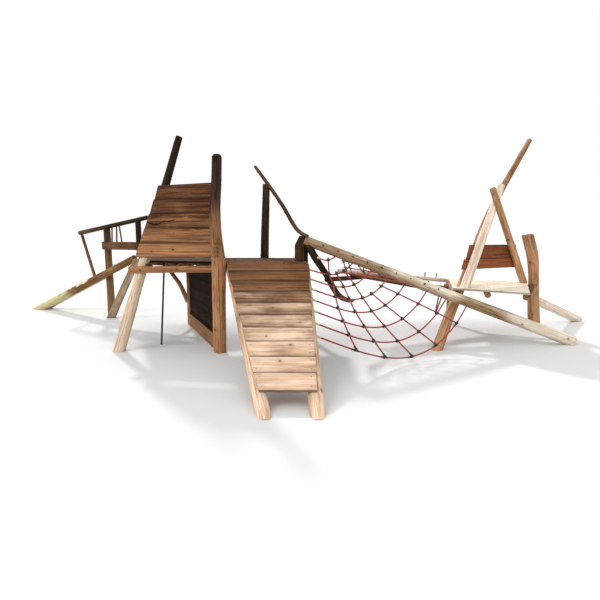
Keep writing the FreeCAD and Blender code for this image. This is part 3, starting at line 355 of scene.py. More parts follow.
@dataclass(frozen=True)
class RopeLook:
    """Twisted rope or strap: fibres follow each strand, and the grooves between strands get painted shade."""

    slot: str
    light: str  # on the strands' crowns
    dark: str
    worn: str = "B86A5C"
    # painted shade in the grooves between strands
    groove: str = "3A1210"

    def material(self, name: str) -> bpy.types.Material:
        """The rope, from the attribute lay: place round the strand, place along it, depth of groove.

        Args:
            name: the material's name.

        Returns:
            The material.
        """
        g = Graph(name)
        lay = g.attribute("lay")
        _, _, depth = g.split(lay)
        fibre = g.noise(g.stretched(lay, 9, 160, 0), 1.0, 3.0, 0.7)
        worn = g.noise(g.stretched(lay, 0.6, 9, 0), 1.0, 3.0)
        colour = g.mix(g.between(fibre, 0.3, 0.75), rgb(self.light), rgb(self.dark))
        colour = g.mix(g.between(worn, 0.5, 0.75) * 0.35, colour, rgb(self.worn))
        # painted shade: darker where the groove between strands is deep
        colour = g.mix(g.between(depth, 0.35, 1.0), colour, rgb(self.groove))
        return g.finish(colour, fibre * 0.2 + 0.66, g.bump(fibre, 0.5, 0.0006), Sheen_Weight=0.25,
                        Sheen_Roughness=0.5, Specular_IOR_Level=0.25)


@dataclass(frozen=True)
class HardLook:
    """Moulded plastic, galvanised steel or painted tube, with mottle, scuffs and fine texture."""

    slot: str
    light: str  # where it is worn or bright
    dark: str  # in its body
    rough: float
    metal: float = 0.0
    texture: float = 260.0  # how fine its texture is, per metre

    def material(self, name: str) -> bpy.types.Material:
        """The surface, from Object coordinates.

        Args:
            name: the material's name.

        Returns:
            The material.
        """
        g = Graph(name)
        place = g.out(g.node("TexCoord"), "Object")
        mottle = g.noise(place, self.texture * 0.16, 4.0, 0.6)
        fine = g.noise(place, self.texture, 3.0, 0.6)
        scuff = g.between(g.noise(g.stretched(place, 1, 1, 0.25), self.texture * 0.5, 2.0), 0.6, 0.72)
        colour = g.mix(g.between(mottle, 0.35, 0.7), rgb(self.dark), rgb(self.light))
        colour = g.mix(scuff * 0.3, colour, rgb(self.light))
        rough = fine * 0.24 + (self.rough - 0.12)
        return g.finish(colour, rough, g.bump(fine, 0.25, 0.0007), Metallic=self.metal)


class Wood(Enum):
    """Every wood on the frame."""

    BEAM = WoodLook("weathered_log", ("EBE0CF", "C0A98D"), ("A38766", "56402E"), contrast=0.72, silver=0.2)
    POST = WoodLook("brown_log", ("BE8C62", "825839"), ("40302A", "211813"), contrast=0.9)
    LEANING = WoodLook("dark_log", ("E2CEB4", "BA977A"), ("31241D", "150E0B"), contrast=0.8)
    DARK_LOG = WoodLook("dark_log", ("8A6747", "553C29"), ("3A2B20", "1C130E"), contrast=0.75)
    PALE_LOG = WoodLook("pale_log", ("EEE2D3", "C9AE94"), ("A07A58", "5E432F"), contrast=0.78)
    TAN_LOG = WoodLook("brown_log", ("CFA37C", "936443"), ("7E583B", "452E20"), contrast=0.82)
    BALANCE = WoodLook("pale_log", ("CFC496", "B5A777"), ("86623F", "4A3323"), contrast=0.75)
    DECK = WoodLook("deck_board", ("F4EBDB", "D2BCA0"), ("A87F58", "6E4B32"), contrast=0.6)
    RAMP = WoodLook("ramp_board", ("EDD2B8", "BC9070"), ("7B5436", "452A18"), contrast=0.8)
    WALL = WoodLook("wall_board", ("B07E57", "6C432A"), ("67442F", "32201A"), contrast=0.95)
    SIDE = WoodLook("dark_board", ("94704F", "54392A"), ("21150F", "0C0705"), contrast=0.6)
    BACK = WoodLook("dark_board", ("A05F3C", "6A3A22"), ("5C3420", "321B10"), contrast=0.75)



class Hard(Enum):
    """Every finish that is not wood: ropes and straps, moulded fittings and steel."""

    NET_ROPE = RopeLook("net_rope", "A93730", "7E241F")
    BRIDGE_ROPE = RopeLook("bridge_rope", "9C342D", "6E211C")
    CLAMP = HardLook("clamp_black", "33302D", "171513", 0.5)
    SLEEVE = HardLook("sleeve_tan", "DCD0A4", "BBA878", 0.6)
    STRAP = RopeLook("strap_black", "2A2624", "141211")
    SLING = RopeLook("strap_black", "702A25", "2C1513")
    FIXING = HardLook("fixing_steel", "6E6962", "2F2B27", 0.5, metal=0.7)
    POLE = HardLook("pole_steel", "5A382C", "2E1D18", 0.55)


class Finishes:
    """Makes each material once, when it is first asked for."""

    def __init__(self) -> None:
        """Start with none made."""
        self.made: dict[str, bpy.types.Material] = {}

    def get(self, choice: Enum) -> tuple[str, bpy.types.Material]:
        """A finish, ready for use.

        Args:
            choice: a member of Wood or Hard.

        Returns:
            Its slot and its material.
        """
        name = ("wood_" if isinstance(choice, Wood) else "hard_") + choice.name.lower()
        if name not in self.made:
            self.made[name] = choice.value.material(name)
        return choice.value.slot, self.made[name]


FINISHES = Finishes()


# ---- mesh building
@dataclass(frozen=True)
class Knot:
    """A knot at a place on a surface: across the grain, along it, and its radius, in millimetres."""

    across: float
    along: float
    size: float


@dataclass(frozen=True)
class Crack:
    """A drying crack: where it lies across the grain, from where to where, and half its width."""

    across: float
    start: float
    end: float
    half: float = 2.0
    curve: float = 0.0


def marks(across: Array, along: Array, knots: Sequence[Knot], cracks: Sequence[Crack],
          around: float = 0.0) -> dict[str, Array]:
    """Where each vertex lies as seen from its nearest knot and its nearest crack.

    A knot is an ellipse, a little longer along the grain. A crack's line is a parabola plus a sine.

    Args:
        across: places across the grain.
        along: places along it.
        knots: the surface's knots.
        cracks: the surface's cracks.
        around: the girth where the surface closes on itself.

    Returns:
        The attributes knot and crack: two scaled distances and how strongly they count.
    """
    made = {}
    for name, items in (("knot", knots), ("crack", cracks)):
        value = np.zeros(across.shape + (3,))
        best = np.full(across.shape, np.inf)
        for item in items:
            line = item.across
            if name == "crack":
                y = 2 * (along - item.start) / (item.end - item.start) - 1
                line = item.across + item.curve * y * y + item.half * 1.5 * np.sin(along / 61 + item.across)
            away = across - line
            if around:
                away = (away + around / 2) % around - around / 2
            if name == "knot":
                x, y = away / item.size, (along - item.along) * 0.8 / item.size
                far = np.hypot(x, y)
                power = np.clip(1 - far / 4, 0, 1)
            else:
                x = away / item.half
                far = np.abs(away) + 400 * np.clip(np.abs(y) - 1.05, 0, None)
                power = np.clip(1 - far / 40, 0, 1)
            nearer = far < best
            best = np.where(nearer, far, best)
            value[nearer] = np.stack([x, y, power], axis=-1)[nearer]
        made[name] = value
    return made


def shrunk(rim: Array, shares: Sequence[float]) -> Array:
    """Rings that shrink from a rim: its middle, plus each share of the way out to it."""
    middle = rim.mean(axis=0)
    return middle + (rim[None] - middle) * np.array(shares)[:, None, None]


def finish_data(shade: Array, tone: Array | float, wear: Array | float, end: float) -> Array:
    """The attribute finish: shade from 0 pale to 1 deep, a factor on the colour, wear, and 1 on end grain. Shade and
    the factor also carry painted shade.
    """
    return np.stack([np.broadcast_to(part, shade.shape) for part in (shade, tone, wear, end)], axis=-1)


class Shape:
    """Grids of points gathered into one mesh."""

    LAYERS = {1: ("FLOAT", "value"), 3: ("FLOAT_VECTOR", "vector"), 4: ("FLOAT_COLOR", "color")}

    def __init__(self) -> None:
        """Start with nothing gathered."""
        self.points: list[Array] = []
        self.faces: list[Array] = []
        self.fans: list[Array] = []
        self.data: dict[str, list[Array]] = {}
        self.count = 0

    def grid(self, points: Array, wrap: bool = True, flip: bool = False, **data: Array) -> Array:
        """Add a grid of quads: each joins two neighbours of one row with the same two of the next.

        Args:
            points: rows by columns by 3.
            wrap: whether the last column joins the first.
            flip: whether the faces look the other way.
            data: attributes, rows by columns by their width.

        Returns:
            The vertices' numbers.
        """
        rows, cols = points.shape[:2]
        index = self.count + np.arange(rows * cols).reshape(rows, cols)
        here, there = (index, np.roll(index, -1, axis=1)) if wrap else (index[:, :-1], index[:, 1:])
        quads = np.stack([here[:-1], there[:-1], there[1:], here[1:]], axis=-1).reshape(-1, 4)
        self.faces.append(quads[:, ::-1] if flip else quads)
        self.points.append(points.reshape(-1, 3))
        for key, value in data.items():
            self.data.setdefault(key, []).append(value.reshape(rows * cols, -1))
        self.count += rows * cols
        return index

    def fan(self, ring: Array) -> None:
        """Close a ring of vertices with one face."""
        self.fans.append(ring)

    def cap(self, rings: Array, first: bool, **data: Array) -> None:
        """Close the grid's first or last ring with rings that shrink, and one face inside the last of them."""
        made = self.grid(rings, flip=first, knot=np.zeros(rings.shape), crack=np.zeros(rings.shape), **data)
        self.fan(made[-1][::-1] if first else made[-1])

    def mesh(self, name: str) -> bpy.types.Mesh:
        """The gathered grids as a mesh in the row's frame.

        Args:
            name: its name.

        Returns:
            The mesh.
        """
        made = bpy.data.meshes.new(name)
        quads = np.concatenate(self.faces)
        corners = np.concatenate([quads.ravel()] + self.fans)
        sizes = np.concatenate([np.full(len(quads), 4)] + [[len(ring)] for ring in self.fans]).astype(int)
        made.vertices.add(self.count)
        made.vertices.foreach_set("co", to_row(np.concatenate(self.points)).ravel())
        made.loops.add(len(corners))
        made.loops.foreach_set("vertex_index", corners.astype(np.int32))
        made.polygons.add(len(sizes))
        made.polygons.foreach_set("loop_start", (np.cumsum(sizes) - sizes).astype(np.int32))
        for key, parts in self.data.items():
            values = np.concatenate(parts)
            kind, slot = self.LAYERS[values.shape[1]]
            layer = made.attributes.new(key, kind, "POINT")
            layer.data.foreach_set(slot, values.astype(np.float32).ravel())
        made.update(calc_edges=True)
        made.validate()
        return made


# ---- timbers
@dataclass(frozen=True)
class Timber:
    """A round log through stations of (x, y, z, diameter), straight or naturally bent."""

    stations: tuple[tuple[float, float, float, float], ...]

    @staticmethod
    def straight(foot: Sequence[float], head: Sequence[float], foot_dia: float, head_dia: float) -> "Timber":
        """A straight log that tapers evenly."""
        return Timber(((*foot, foot_dia), (*head, head_dia)))

    @property
    def foot(self) -> Array:
        """The middle of its foot."""
        return vec(*self.stations[0][:3])

    @property
    def head(self) -> Array:
        """The middle of its head."""
        return vec(*self.stations[-1][:3])

    @property
    def run(self) -> Array:
        """The direction from foot to head."""
        return unit(self.head - self.foot)

    @property
    def length(self) -> float:
        """The distance from foot to head."""
        return float(np.linalg.norm(self.head - self.foot))

    def at(self, share: float) -> Array:
        """A point on a straight log's axis."""
        return mix(self.foot, self.head, share)

    def dia(self, share: float) -> float:
        """A straight log's diameter at a share of its length."""
        return mix(self.stations[0][3], self.stations[-1][3], share)

    def share_at(self, axis: int, value: float) -> float:
        """How far along a straight log a coordinate is reached."""
        return float((value - self.foot[axis]) / (self.head[axis] - self.foot[axis]))

    def reached(self, axis: int, value: float) -> tuple[Array, float]:
        """The axis point and the radius of a straight log where a coordinate is reached."""
        share = self.share_at(axis, value)
        return self.at(share), self.dia(share) / 2

    def station(self, axis: int, value: float) -> tuple[Array, float]:
        """Where a bent log reaches a coordinate, evenly between two stations.

        Args:
            axis: 0, 1 or 2 for X, Y or Z.
            value: the coordinate.

        Returns:
            The axis point and the diameter.
        """
        for low, high in zip(self.stations, self.stations[1:]):
            if min(low[axis], high[axis]) <= value <= max(low[axis], high[axis]):
                spot = mix(vec(*low), vec(*high), (value - low[axis]) / (high[axis] - low[axis]))
                return spot[:3], float(spot[3])
        raise ValueError("the log does not reach that place")

    def part(self, start: float, end: float, start_dia: float, end_dia: float) -> "Timber":
        """A straight log cut from this one's axis."""
        return Timber.straight(self.at(start), self.at(end), start_dia, end_dia)


# Logs that more than one group of pieces is fixed to.
LEANING_POST = Timber.straight((-2080, 0, 0), (-1313, 700, 3007), 165, 98)
BEAM = Timber.straight((500, 97, 1530), (4480, 404, 36), 126, 168)
BEAM_UPPER = BEAM.part(0, 0.60, 126, 158)
BEAM_LOWER = BEAM.part(0.30, 1, 128, 168)
BRANCH = Timber(((545, 95, 1470, 104), (687, 120, 1232, 98), (825, 140, 1022, 90), (909, 160, 866, 86),
                 (993, 180, 750, 82), (1105, 200, 690, 76), (1190, 200, 672, 70)))
LONG_LEG = Timber(((2370, 80, 0, 152), (2734, 490, 633, 142), (2920, 715, 892, 134), (3015, 735, 1161, 128),
                   (3085, 765, 1344, 122), (3265, 900, 1737, 108), (4116, 1400, 3105, 76)))
BALANCE_FRONT = Timber.straight((-5420, 3660, -74), (-2770, 2673, 1152), 152, 140)


def level(foot: Sequence[float], head: Sequence[float], z: float, dia: float = JOIST_DIA) -> Timber:
    """A log of one diameter that lies level between two places in plan."""
    return Timber.straight((*foot, z), (*head, z), dia, dia)


def tower_edge(y: float) -> float:
    """The X of the line shared by the landing's deck and the tall tower's deck, which falls evenly with Y."""
    return -745 - 0.4453 * (y - 40)


LOW_JOISTS = (level((2700, 478), (3146, 2020), LOW_JOIST_Z), level((3110, 245), (3655, 1720), LOW_JOIST_Z),
              level((3050, 1995), (4330, 1370), 685, 100))
SLOPE = math.atan2(DECK_HEIGHT, RAMP_RUN)
DOWN_SLOPE = vec(0, -math.cos(SLOPE), -math.sin(SLOPE))
OFF_SLOPE = vec(0, -math.sin(SLOPE), math.cos(SLOPE))
RAMP_LENGTH = math.hypot(RAMP_RUN, DECK_HEIGHT)
BEAM_FRONT = unit(np.cross(BEAM.run, UP))
BEAM_LIFT = np.cross(BEAM_FRONT, BEAM.run)
SCARF_AT = BEAM.at(BEAM.share_at(0, BEAM_SCARF_X))
SCARF_UP = (BEAM_LIFT * math.cos(math.radians(BEAM_SCARF_TILT))
            + BEAM.run * math.sin(math.radians(BEAM_SCARF_TILT)))


def on_ramp(x: float, down: float, off: float = 0.0) -> Array:
    """A point on the boards' top surface: x across, down along the slope, off its face."""
    return vec(x, RAMP_HEAD_Y, DECK_HEIGHT) + DOWN_SLOPE * down + OFF_SLOPE * off


def stringer(head_x: float, foot_x: float) -> Timber:
    """A ramp log whose planed top lies under the boards.

    Args:
        head_x: where its head lies across the ramp.
        foot_x: where its foot lies.

    Returns:
        The log.
    """
    return Timber.straight(on_ramp(foot_x, RAMP_LENGTH, -BOARD_THICK - STRINGER_FOOT_DIA / 2 + STRINGER_FLAT),
                           on_ramp(head_x, -67, -BOARD_THICK - STRINGER_HEAD_DIA / 2 + STRINGER_FLAT),
                           STRINGER_FOOT_DIA, STRINGER_HEAD_DIA)


STRINGERS = {"left": stringer(-523, 152), "right": stringer(502, 603)}


@dataclass(frozen=True)
class Plane:
    """A cut: the timber stays on the side that the normal points into."""

    point: Array
    normal: Array


GROUND = Plane(vec(0, 0, 0), UP)


@dataclass(frozen=True)
class LogFinish:
    """How one log is worked and weathered, and how much painted shade its underside gets."""

    wood: Wood
    shade: Floats = (0.3, 0.3)  # at even steps from foot to head: 0 pale, 1 deep
    tone: float = 1.0
    knots: Sequence[Knot] = ()
    cracks: Sequence[Crack] = ()
    knot_pitch: float = 800.0
    rough: float = 1.0
    crown: float = 0.0  # how far the head is rounded off
    # painted shade: under sets how much darker the underside is drawn
    under: float = 0.0  # how much darker its underside is
    bare: Optional[tuple[float, float]] = None  # from where to where the bark is torn off its upper side
    foot_cuts: Sequence[Plane] = ()
    head_cuts: Sequence[Plane] = ()
    planed: Sequence[Plane] = ()


def eased(stations: Array, step: float) -> tuple[Array, Array]:
    """A smooth line through stations: a cubic between each two, with the slope of their neighbours.

    Args:
        stations: points with their diameters.
        step: distance between samples.

    Returns:
        Distances and the values there, with a straight stretch beyond both ends.
    """
    knots = np.concatenate([[0], np.cumsum(np.linalg.norm(np.diff(stations[:, :3], axis=0), axis=1))])
    slopes = np.gradient(stations, knots, axis=0)
    places = np.linspace(0, knots[-1], max(2, int(knots[-1] / step)) + 1)
    k = np.clip(np.searchsorted(knots, places, side="right") - 1, 0, len(knots) - 2)
    span = (knots[k + 1] - knots[k])[:, None]
    t = ((places - knots[k])[:, None]) / span
    values = ((2 * t**3 - 3 * t**2 + 1) * stations[k] + (t**3 - 2 * t**2 + t) * span * slopes[k]
              + (-2 * t**3 + 3 * t**2) * stations[k + 1] + (t**3 - t**2) * span * slopes[k + 1])
    extra = 400.0
    values = np.vstack([values[0] - slopes[0] * extra, values, values[-1] + slopes[-1] * extra])
    return np.concatenate([[-extra], places, [places[-1] + extra]]), values


@dataclass
class PeeledLog:
    """The surface of one log: a circle carried along its axis, then swollen, cut, planed and marked."""

    name: str  # seeds its irregularity
    timber: Timber
    work: LogFinish
    sides: int = 44  # columns round it
    step: float = 24.0  # distance between rings
    bevel: Floats = (0.0, 3.0, 8.0)  # the first rings' distances from a sawn end
    inset: Floats = (3.0, 0.8, 0.0)  # how far they lie inside the log's girth

    def __post_init__(self) -> None:
        """Work out the axis and the two directions square to it."""
        self.rng = seeded(self.name)
        self.stations = np.array(self.timber.stations, dtype=float)
        self.line, self.values = eased(self.stations, self.step)
        self.total = self.line[-2]
        run = self.timber.run
        level = vec(-run[1], run[0], 0) if math.hypot(run[0], run[1]) > 0.05 else vec(1, 0, 0)
        self.level = unit(level - run * (level @ run))
        self.steep = np.cross(run, self.level)
        self.angle = np.arange(self.sides) * 2 * math.pi / self.sides
        self.spoke = self.level * np.cos(self.angle)[:, None] + self.steep * np.sin(self.angle)[:, None]

    def end_places(self, cuts: Sequence[Plane], first: bool) -> Array:
        """Where each line along the log meets the cuts at one end; without a cut, a slightly uneven saw cut.

        Args:
            cuts: the planes there.
            first: whether it is the foot.

        Returns:
            A distance for every column.
        """
        index, inner, way, place = (0, 1, 1, 0.0) if first else (-1, -2, -1, self.total)
        if not cuts:
            return np.full(self.sides, place) + self.rng.uniform(-1.2, 1.2, self.sides)
        along = unit(self.values[inner, :3] - self.values[index, :3]) * way
        rim = np.array([np.interp(place, self.line, self.values[:, c]) for c in range(4)])
        corner = rim[:3] + self.spoke * rim[3] / 2
        met = [place - ((corner - cut.point) @ cut.normal) / (along @ cut.normal) for cut in cuts]
        return np.max(met, axis=0) if first else np.min(met, axis=0)

    def lay_rings(self) -> None:
        """Set each vertex's place along the log and the axis there: even rings, with bevelled ends."""
        start, stop = self.end_places(self.work.foot_cuts, True), self.end_places(self.work.head_cuts, False)
        even = np.linspace(0, 1, max(4, int(self.total / self.step)))[1:-1]
        last = self.bevel[-1]
        self.places = np.vstack([start + b for b in self.bevel]
                                + [mix(start + last, stop - last, e) for e in even]
                                + [stop - b for b in self.bevel[::-1]])
        self.inward = np.concatenate([self.inset, np.zeros(len(even)), self.inset[::-1]])[:, None]
        self.centre = np.stack([np.interp(self.places, self.line, self.values[:, c]) for c in range(3)], axis=-1)

    def blemish(self) -> None:
        """Set the knots and cracks: the log's own where they are given, and random ones otherwise."""
        rng, total, pitch = self.rng, self.total, self.work.knot_pitch
        girth = math.pi * self.stations[:, 3].mean()
        knots = list(self.work.knots) or [
            Knot(rng.uniform(0, girth), along, rng.uniform(7, 19))
            for along in np.arange(rng.uniform(80, pitch), total - 60, pitch * rng.uniform(0.7, 1.2))]
        cracks = list(self.work.cracks) or [
            Crack(rng.uniform(0, girth), a, a + rng.uniform(250, 800), rng.uniform(1.2, 2.4))
            for a in np.arange(rng.uniform(-100, 300), total - 300, rng.uniform(420, 800))]
        across = np.broadcast_to(self.angle / (2 * math.pi) * girth, self.places.shape)
        self.found = marks(across, self.places, knots, cracks, girth)

    def swell(self) -> None:
        """Set the radius: cosines round the log that turn along it, a mound at knots, a dip in cracks."""
        rng, places, knot, crack = self.rng, self.places, self.found["knot"], self.found["crack"]
        wave = np.zeros_like(places)
        for k in range(2, 6):
            size, turn = rng.uniform(0.3, 1) * 0.013 / (k - 0.6), rng.uniform(0, 6)
            wave += size * np.cos(k * self.angle + turn + places / rng.uniform(180, 700) * rng.choice([-1, 1]))
        wave += 0.012 * np.sin(places / rng.uniform(90, 160) + rng.uniform(0, 6))
        mound = np.exp(-(knot[..., 0]**2 + knot[..., 1]**2) / 3.2) * (knot[..., 2] > 0)
        gape = np.exp(-(crack[..., 0] / 2.5)**2) * (crack[..., 2] > 0) * (np.abs(crack[..., 1]) < 0.95)
        radius = np.interp(places, self.line, self.values[:, 3]) / 2
        self.radius = radius * (1 + wave * self.work.rough) + mound * 4.5 - gape * 1.5
        if self.work.crown:
            left = np.clip((self.total - places) / self.work.crown, 0, 1)
            self.radius = self.radius * np.sqrt(np.clip(1 - (1 - left)**2 * 0.82, 0, 1))

    def plane(self, points: Array, cut: Plane) -> Array:
        """Points beyond a cut moved back onto it, and no wider than the circle is there.

        Args:
            points: the points.
            cut: the planed face.

        Returns:
            The moved points.
        """
        beyond = np.clip(-((points - cut.point) @ cut.normal), 0, None)[..., None]
        points = points + beyond * cut.normal
        side = unit(np.cross(self.timber.run, cut.normal))
        half = np.sqrt(np.clip(self.radius**2 - ((self.centre - cut.point) @ cut.normal)**2, 0, None))
        lateral = (points - self.centre) @ side
        limit = np.where(beyond[..., 0] > 0, half, np.inf)
        return points - (lateral - np.clip(lateral, -limit, limit))[..., None] * side

    def weather(self) -> None:
        """Set shade and tone: steps along the log, painted shade on its underside, and a bright oval where bark is
        torn.
        """
        work, places, total = self.work, self.places, self.total
        shade = np.interp(places / total, np.linspace(0, 1, len(work.shade)), work.shade)
        # painted shade: the underside is drawn darker by the amount under
        self.shade = np.clip(shade + work.under * np.clip(-self.spoke[:, 2], -0.4, 1), 0, 1)
        self.tone = np.full(places.shape, work.tone)
        if work.bare:
            low, high = work.bare
            y = (2 * places / total - low - high) / (high - low)
            x = np.arccos(np.clip(self.spoke @ unit(vec(0, -1.1, 1)), -1, 1)) / 0.66
            ragged = 0.25 * np.sin(places / 37 + 5 * x) + 0.2 * np.sin(places / 83)
            inside = 1 - x**2 - np.abs(y)**3 + ragged * (np.abs(y) < 1.2)
            core = np.clip(inside * 4, 0, 1)
            self.shade = np.clip(self.shade + 0.5 * np.exp(-(inside / 0.3)**2), 0, 1) * (1 - core)
            self.tone = self.tone * (1 + 0.22 * core)

    def grain(self, points: Array, places: Array, centre: Array) -> Array:
        """The place in the wood: both ways from a pith off the middle, and along the log."""
        x, y = (((points - centre) * MM) @ way + drift for way, drift in zip((self.level, self.steep), self.pith))
        return np.stack([x, y, places * MM + self.offset], axis=-1)

    def shape(self) -> Shape:
        """Rings from foot to head, and a cap of end grain on both.

        Returns:
            The log's grids.
        """
        self.lay_rings()
        self.blemish()
        self.swell()
        self.weather()
        self.offset = self.rng.uniform(0, 40)
        self.pith = self.rng.uniform(-0.18, 0.18, 2) * 0.03
        points = self.centre + self.spoke * (self.radius - self.inward)[..., None]
        for cut in self.work.planed:
            points = self.plane(points, cut)
        made = Shape()
        wear = np.where(self.inward > 0, 0.5, 0.0) * np.ones_like(self.places)
        made.grid(points, grain=self.grain(points, self.places, self.centre),
                  finish=finish_data(self.shade, self.tone, wear, 0.0), **self.found)
        for rim in (0, -1):
            rings = shrunk(points[rim], (1.0, 0.7, 0.4, 0.08))
            flat = np.zeros(rings.shape[:2])
            grain = self.grain(rings, np.broadcast_to(self.places[rim], flat.shape), points[rim].mean(axis=0))
            made.cap(rings, rim == 0, grain=grain,
                     finish=finish_data(flat + self.shade[rim].mean(), self.work.tone, flat, 1.0))
        return made


# ---- boards
EndLine = Callable[[Array], Array]
WIDE_STEPS = (0.012, 0.1, 0.22, 0.34, 0.5, 0.66, 0.78, 0.9, 0.988)
THIN_STEPS = (0.06, 0.5, 0.94)


@dataclass
class Board:
    """A sawn board: its grain runs along, and each end is cut to a line across its width."""

    origin: Array
    along: Array
    across: Array
    up: Array
    width: float
    thick: float
    start: EndLine
    end: EndLine
    wood: Wood
    shade: float = 0.3
    tone: float = 1.0
    knots: Sequence[Knot] = ()
    cracks: Sequence[Crack] = ()
    corner: float = 3.5
    taper: float = 1.0  # how wide the far end is, as a share of the near end
    painted_edge_shade: float = 0.25  # painted shade: how much darker the sawn edges are drawn
    tilt: float = 0.0  # how far both ends shift for each millimetre of thickness
    stain: float = 0.0  # painted shade: how dark the band along its long edges is drawn, for the gaps between boards

    def reach(self) -> tuple[float, float]:
        """Where its middle line starts and ends along it."""
        return self.start(np.zeros(1))[0], self.end(np.zeros(1))[0]

    def screw_pair(self, place: float) -> list[tuple[Array, Array]]:
        """Two screws on a level board's top at a place along it, with their direction."""
        return [(self.origin + self.along * place + self.across * w + UP * (self.thick / 2 + SCREW_PROUD), UP)
                for w in (-SCREW_OFF, SCREW_OFF)]

    def profile(self) -> Array:
        """The board's section: a rectangle whose corners are quarter circles.

        Returns:
            Points of (across, up), counterclockwise from the lower face.
        """
        points = []
        for x_sign, y_sign, first in ((1, -1, -90), (1, 1, 0), (-1, 1, 90), (-1, -1, 180)):
            middle = vec(x_sign * (self.width / 2 - self.corner), y_sign * (self.thick / 2 - self.corner))
            turns = math.radians(first) + np.radians([0, 22.5, 45, 67.5, 90])
            arc = middle + self.corner * np.stack([np.cos(turns), np.sin(turns)], axis=-1)
            if points:
                before = points[-1]
                wide = abs(arc[0][0] - before[0]) > abs(arc[0][1] - before[1])
                points += [mix(before, arc[0], share) for share in (WIDE_STEPS if wide else THIN_STEPS)]
            points += list(arc)
        return np.array(points + [mix(points[-1], points[0], share) for share in WIDE_STEPS])

    def shape(self, name: str) -> Shape:
        """Its section carried from end to end, with a parabola of cup and a sine of bow.

        Args:
            name: seeds its irregularity.

        Returns:
            The board's grids.
        """
        rng = seeded(name)
        along, across = unit(self.along), unit(self.across)
        up = unit(self.up - along * (self.up @ along))
        profile = self.profile()
        if np.cross(across, up) @ along < 0:
            profile = profile[::-1]
        w, t = profile[:, 0], profile[:, 1]
        start, end = self.start(w) + self.tilt * t, self.end(w) + self.tilt * t
        span = float((end - start).max())
        bevel = np.array([0.0, 0.4, 1.0]) * self.corner
        even = np.linspace(0, 1, max(6, int(span / 42)))[1:-1]
        jitter = rng.uniform(-1.2, 1.2)
        places = np.vstack([start + jitter + b for b in bevel]
                           + [mix(start + bevel[-1], end - bevel[-1], e) for e in even]
                           + [end - b for b in bevel[::-1]])
        inset = np.concatenate([[0.8, 0.25, 0.0], np.zeros(len(even)), [0.0, 0.25, 0.8]])[:, None] * self.corner
        narrow = mix(1.0, self.taper, np.clip(places / max(span, 1), 0, 1)) if self.taper != 1 else 1.0
        half_w, half_t = self.width / 2, self.thick / 2
        w_now = np.broadcast_to(w, places.shape) * (1 - inset / half_w) * narrow
        t_now = np.broadcast_to(t, places.shape) * (1 - inset / half_t) * narrow
        cup, bow = rng.uniform(-1, 1) * self.width * 0.006, rng.uniform(-1.6, 1.6)
        arch = np.sin(places / max(span, 1) * math.pi * rng.uniform(0.8, 2.2))
        lift = cup * ((w_now / half_w)**2 - 0.4) + bow * arch
        waver = rng.uniform(0.4, 1.0) * np.sin(places / rng.uniform(130, 300) + rng.uniform(0, 6))
        points = (self.origin + along * places[..., None] + across * (w_now + waver)[..., None]
                  + up * (t_now + lift)[..., None])

        low, high = start.min(), end.max()
        knots = list(self.knots) or [
            Knot(rng.uniform(-0.4, 0.4) * self.width, a, rng.uniform(6, 17))
            for a in np.arange(rng.uniform(60, 900) + low, low + span - 60, rng.uniform(500, 1300))]
        cracks = list(self.cracks) or [
            Crack(rng.uniform(-0.35, 0.35) * self.width, edge - 10, edge + way * rng.uniform(60, 220), 1.4)
            for edge, way in ((low, 1), (high, -1)) if rng.uniform() < 0.6]
        found = marks(w_now, places, knots, cracks)
        pith = vec(rng.uniform(-0.5, 0.5) * self.width, rng.uniform(25, 90) * rng.choice([-1, 1])) * MM
        slant, offset = rng.uniform(-0.022, 0.022), rng.uniform(0, 40)

        def grain(w_value: Array, t_value: Array, place: Array) -> Array:
            """The place in the wood: off the pith both ways, slanting evenly along the board, and along it."""
            return np.stack([w_value * MM - pith[0], t_value * MM - pith[1] + slant * place * MM,
                             place * MM + offset], axis=-1)

        edge = np.maximum(np.abs(w_now) - (half_w - self.corner), 0) / self.corner
        rim = np.maximum(np.abs(t_now) - (half_t - self.corner), 0) / self.corner
        wear = (0.5 * np.clip(edge * rim * 2.5, 0, 1) + 0.3 * (inset > 0)) * (1 - 0.7 * self.shade)
        # painted shade: the sawn edges are drawn darker, and a band along the long edges darker again, for the shade in
        # the gaps between boards
        shade = np.clip(self.shade + self.painted_edge_shade * np.clip(edge * 4, 0, 1), 0, 1)
        tone = self.tone * (1 - 0.45 * np.clip(edge, 0, 1)) * (1 - self.stain * (np.abs(w_now) > half_w - 12))
        made = Shape()
        made.grid(points, grain=grain(w_now, t_now, places), finish=finish_data(shade, tone, wear, 0.0), **found)
        shares = (1.0, 0.6, 0.1)
        for row in (0, -1):
            rings = shrunk(points[row], shares)
            w_cap, t_cap = (now[row][None] * np.array(shares)[:, None] for now in (w_now, t_now))
            flat = np.full(w_cap.shape, self.shade)
            made.cap(rings, row == 0, grain=grain(w_cap, t_cap, np.broadcast_to(places[row], w_cap.shape)),
                     finish=finish_data(flat, self.tone, 0 * flat, 0.8))
        return made


def skewed(at: float, skew: float) -> EndLine:
    """A cut across a board at a distance along it, which runs on by skew for each millimetre of width."""
    return lambda w: at + skew * w


def plank(start: Sequence[float], end: Sequence[float], width: float, thick: float, wood: Wood,
          up: Array = UP, start_skew: float = 0.0, end_skew: float = 0.0, **look: object) -> Board:
    """A board between two points whose width runs along up.

    Args:
        start: the middle of one end.
        end: the middle of the other.
        width: its width.
        thick: its thickness.
        wood: its finish.
        up: nearest to its width.
        start_skew: how far its upper corner is ahead.
        end_skew: the same at the end.
        look: its other fields.

    Returns:
        The board.
    """
    a, b = vec(*start), vec(*end)
    along = unit(b - a)
    across = unit(up - along * (up @ along))
    half = width / 2
    return Board(a, along, across, np.cross(along, across), width, thick, skewed(0.0, start_skew / half),
                 skewed(float(np.linalg.norm(b - a)), end_skew / half), wood, **look)


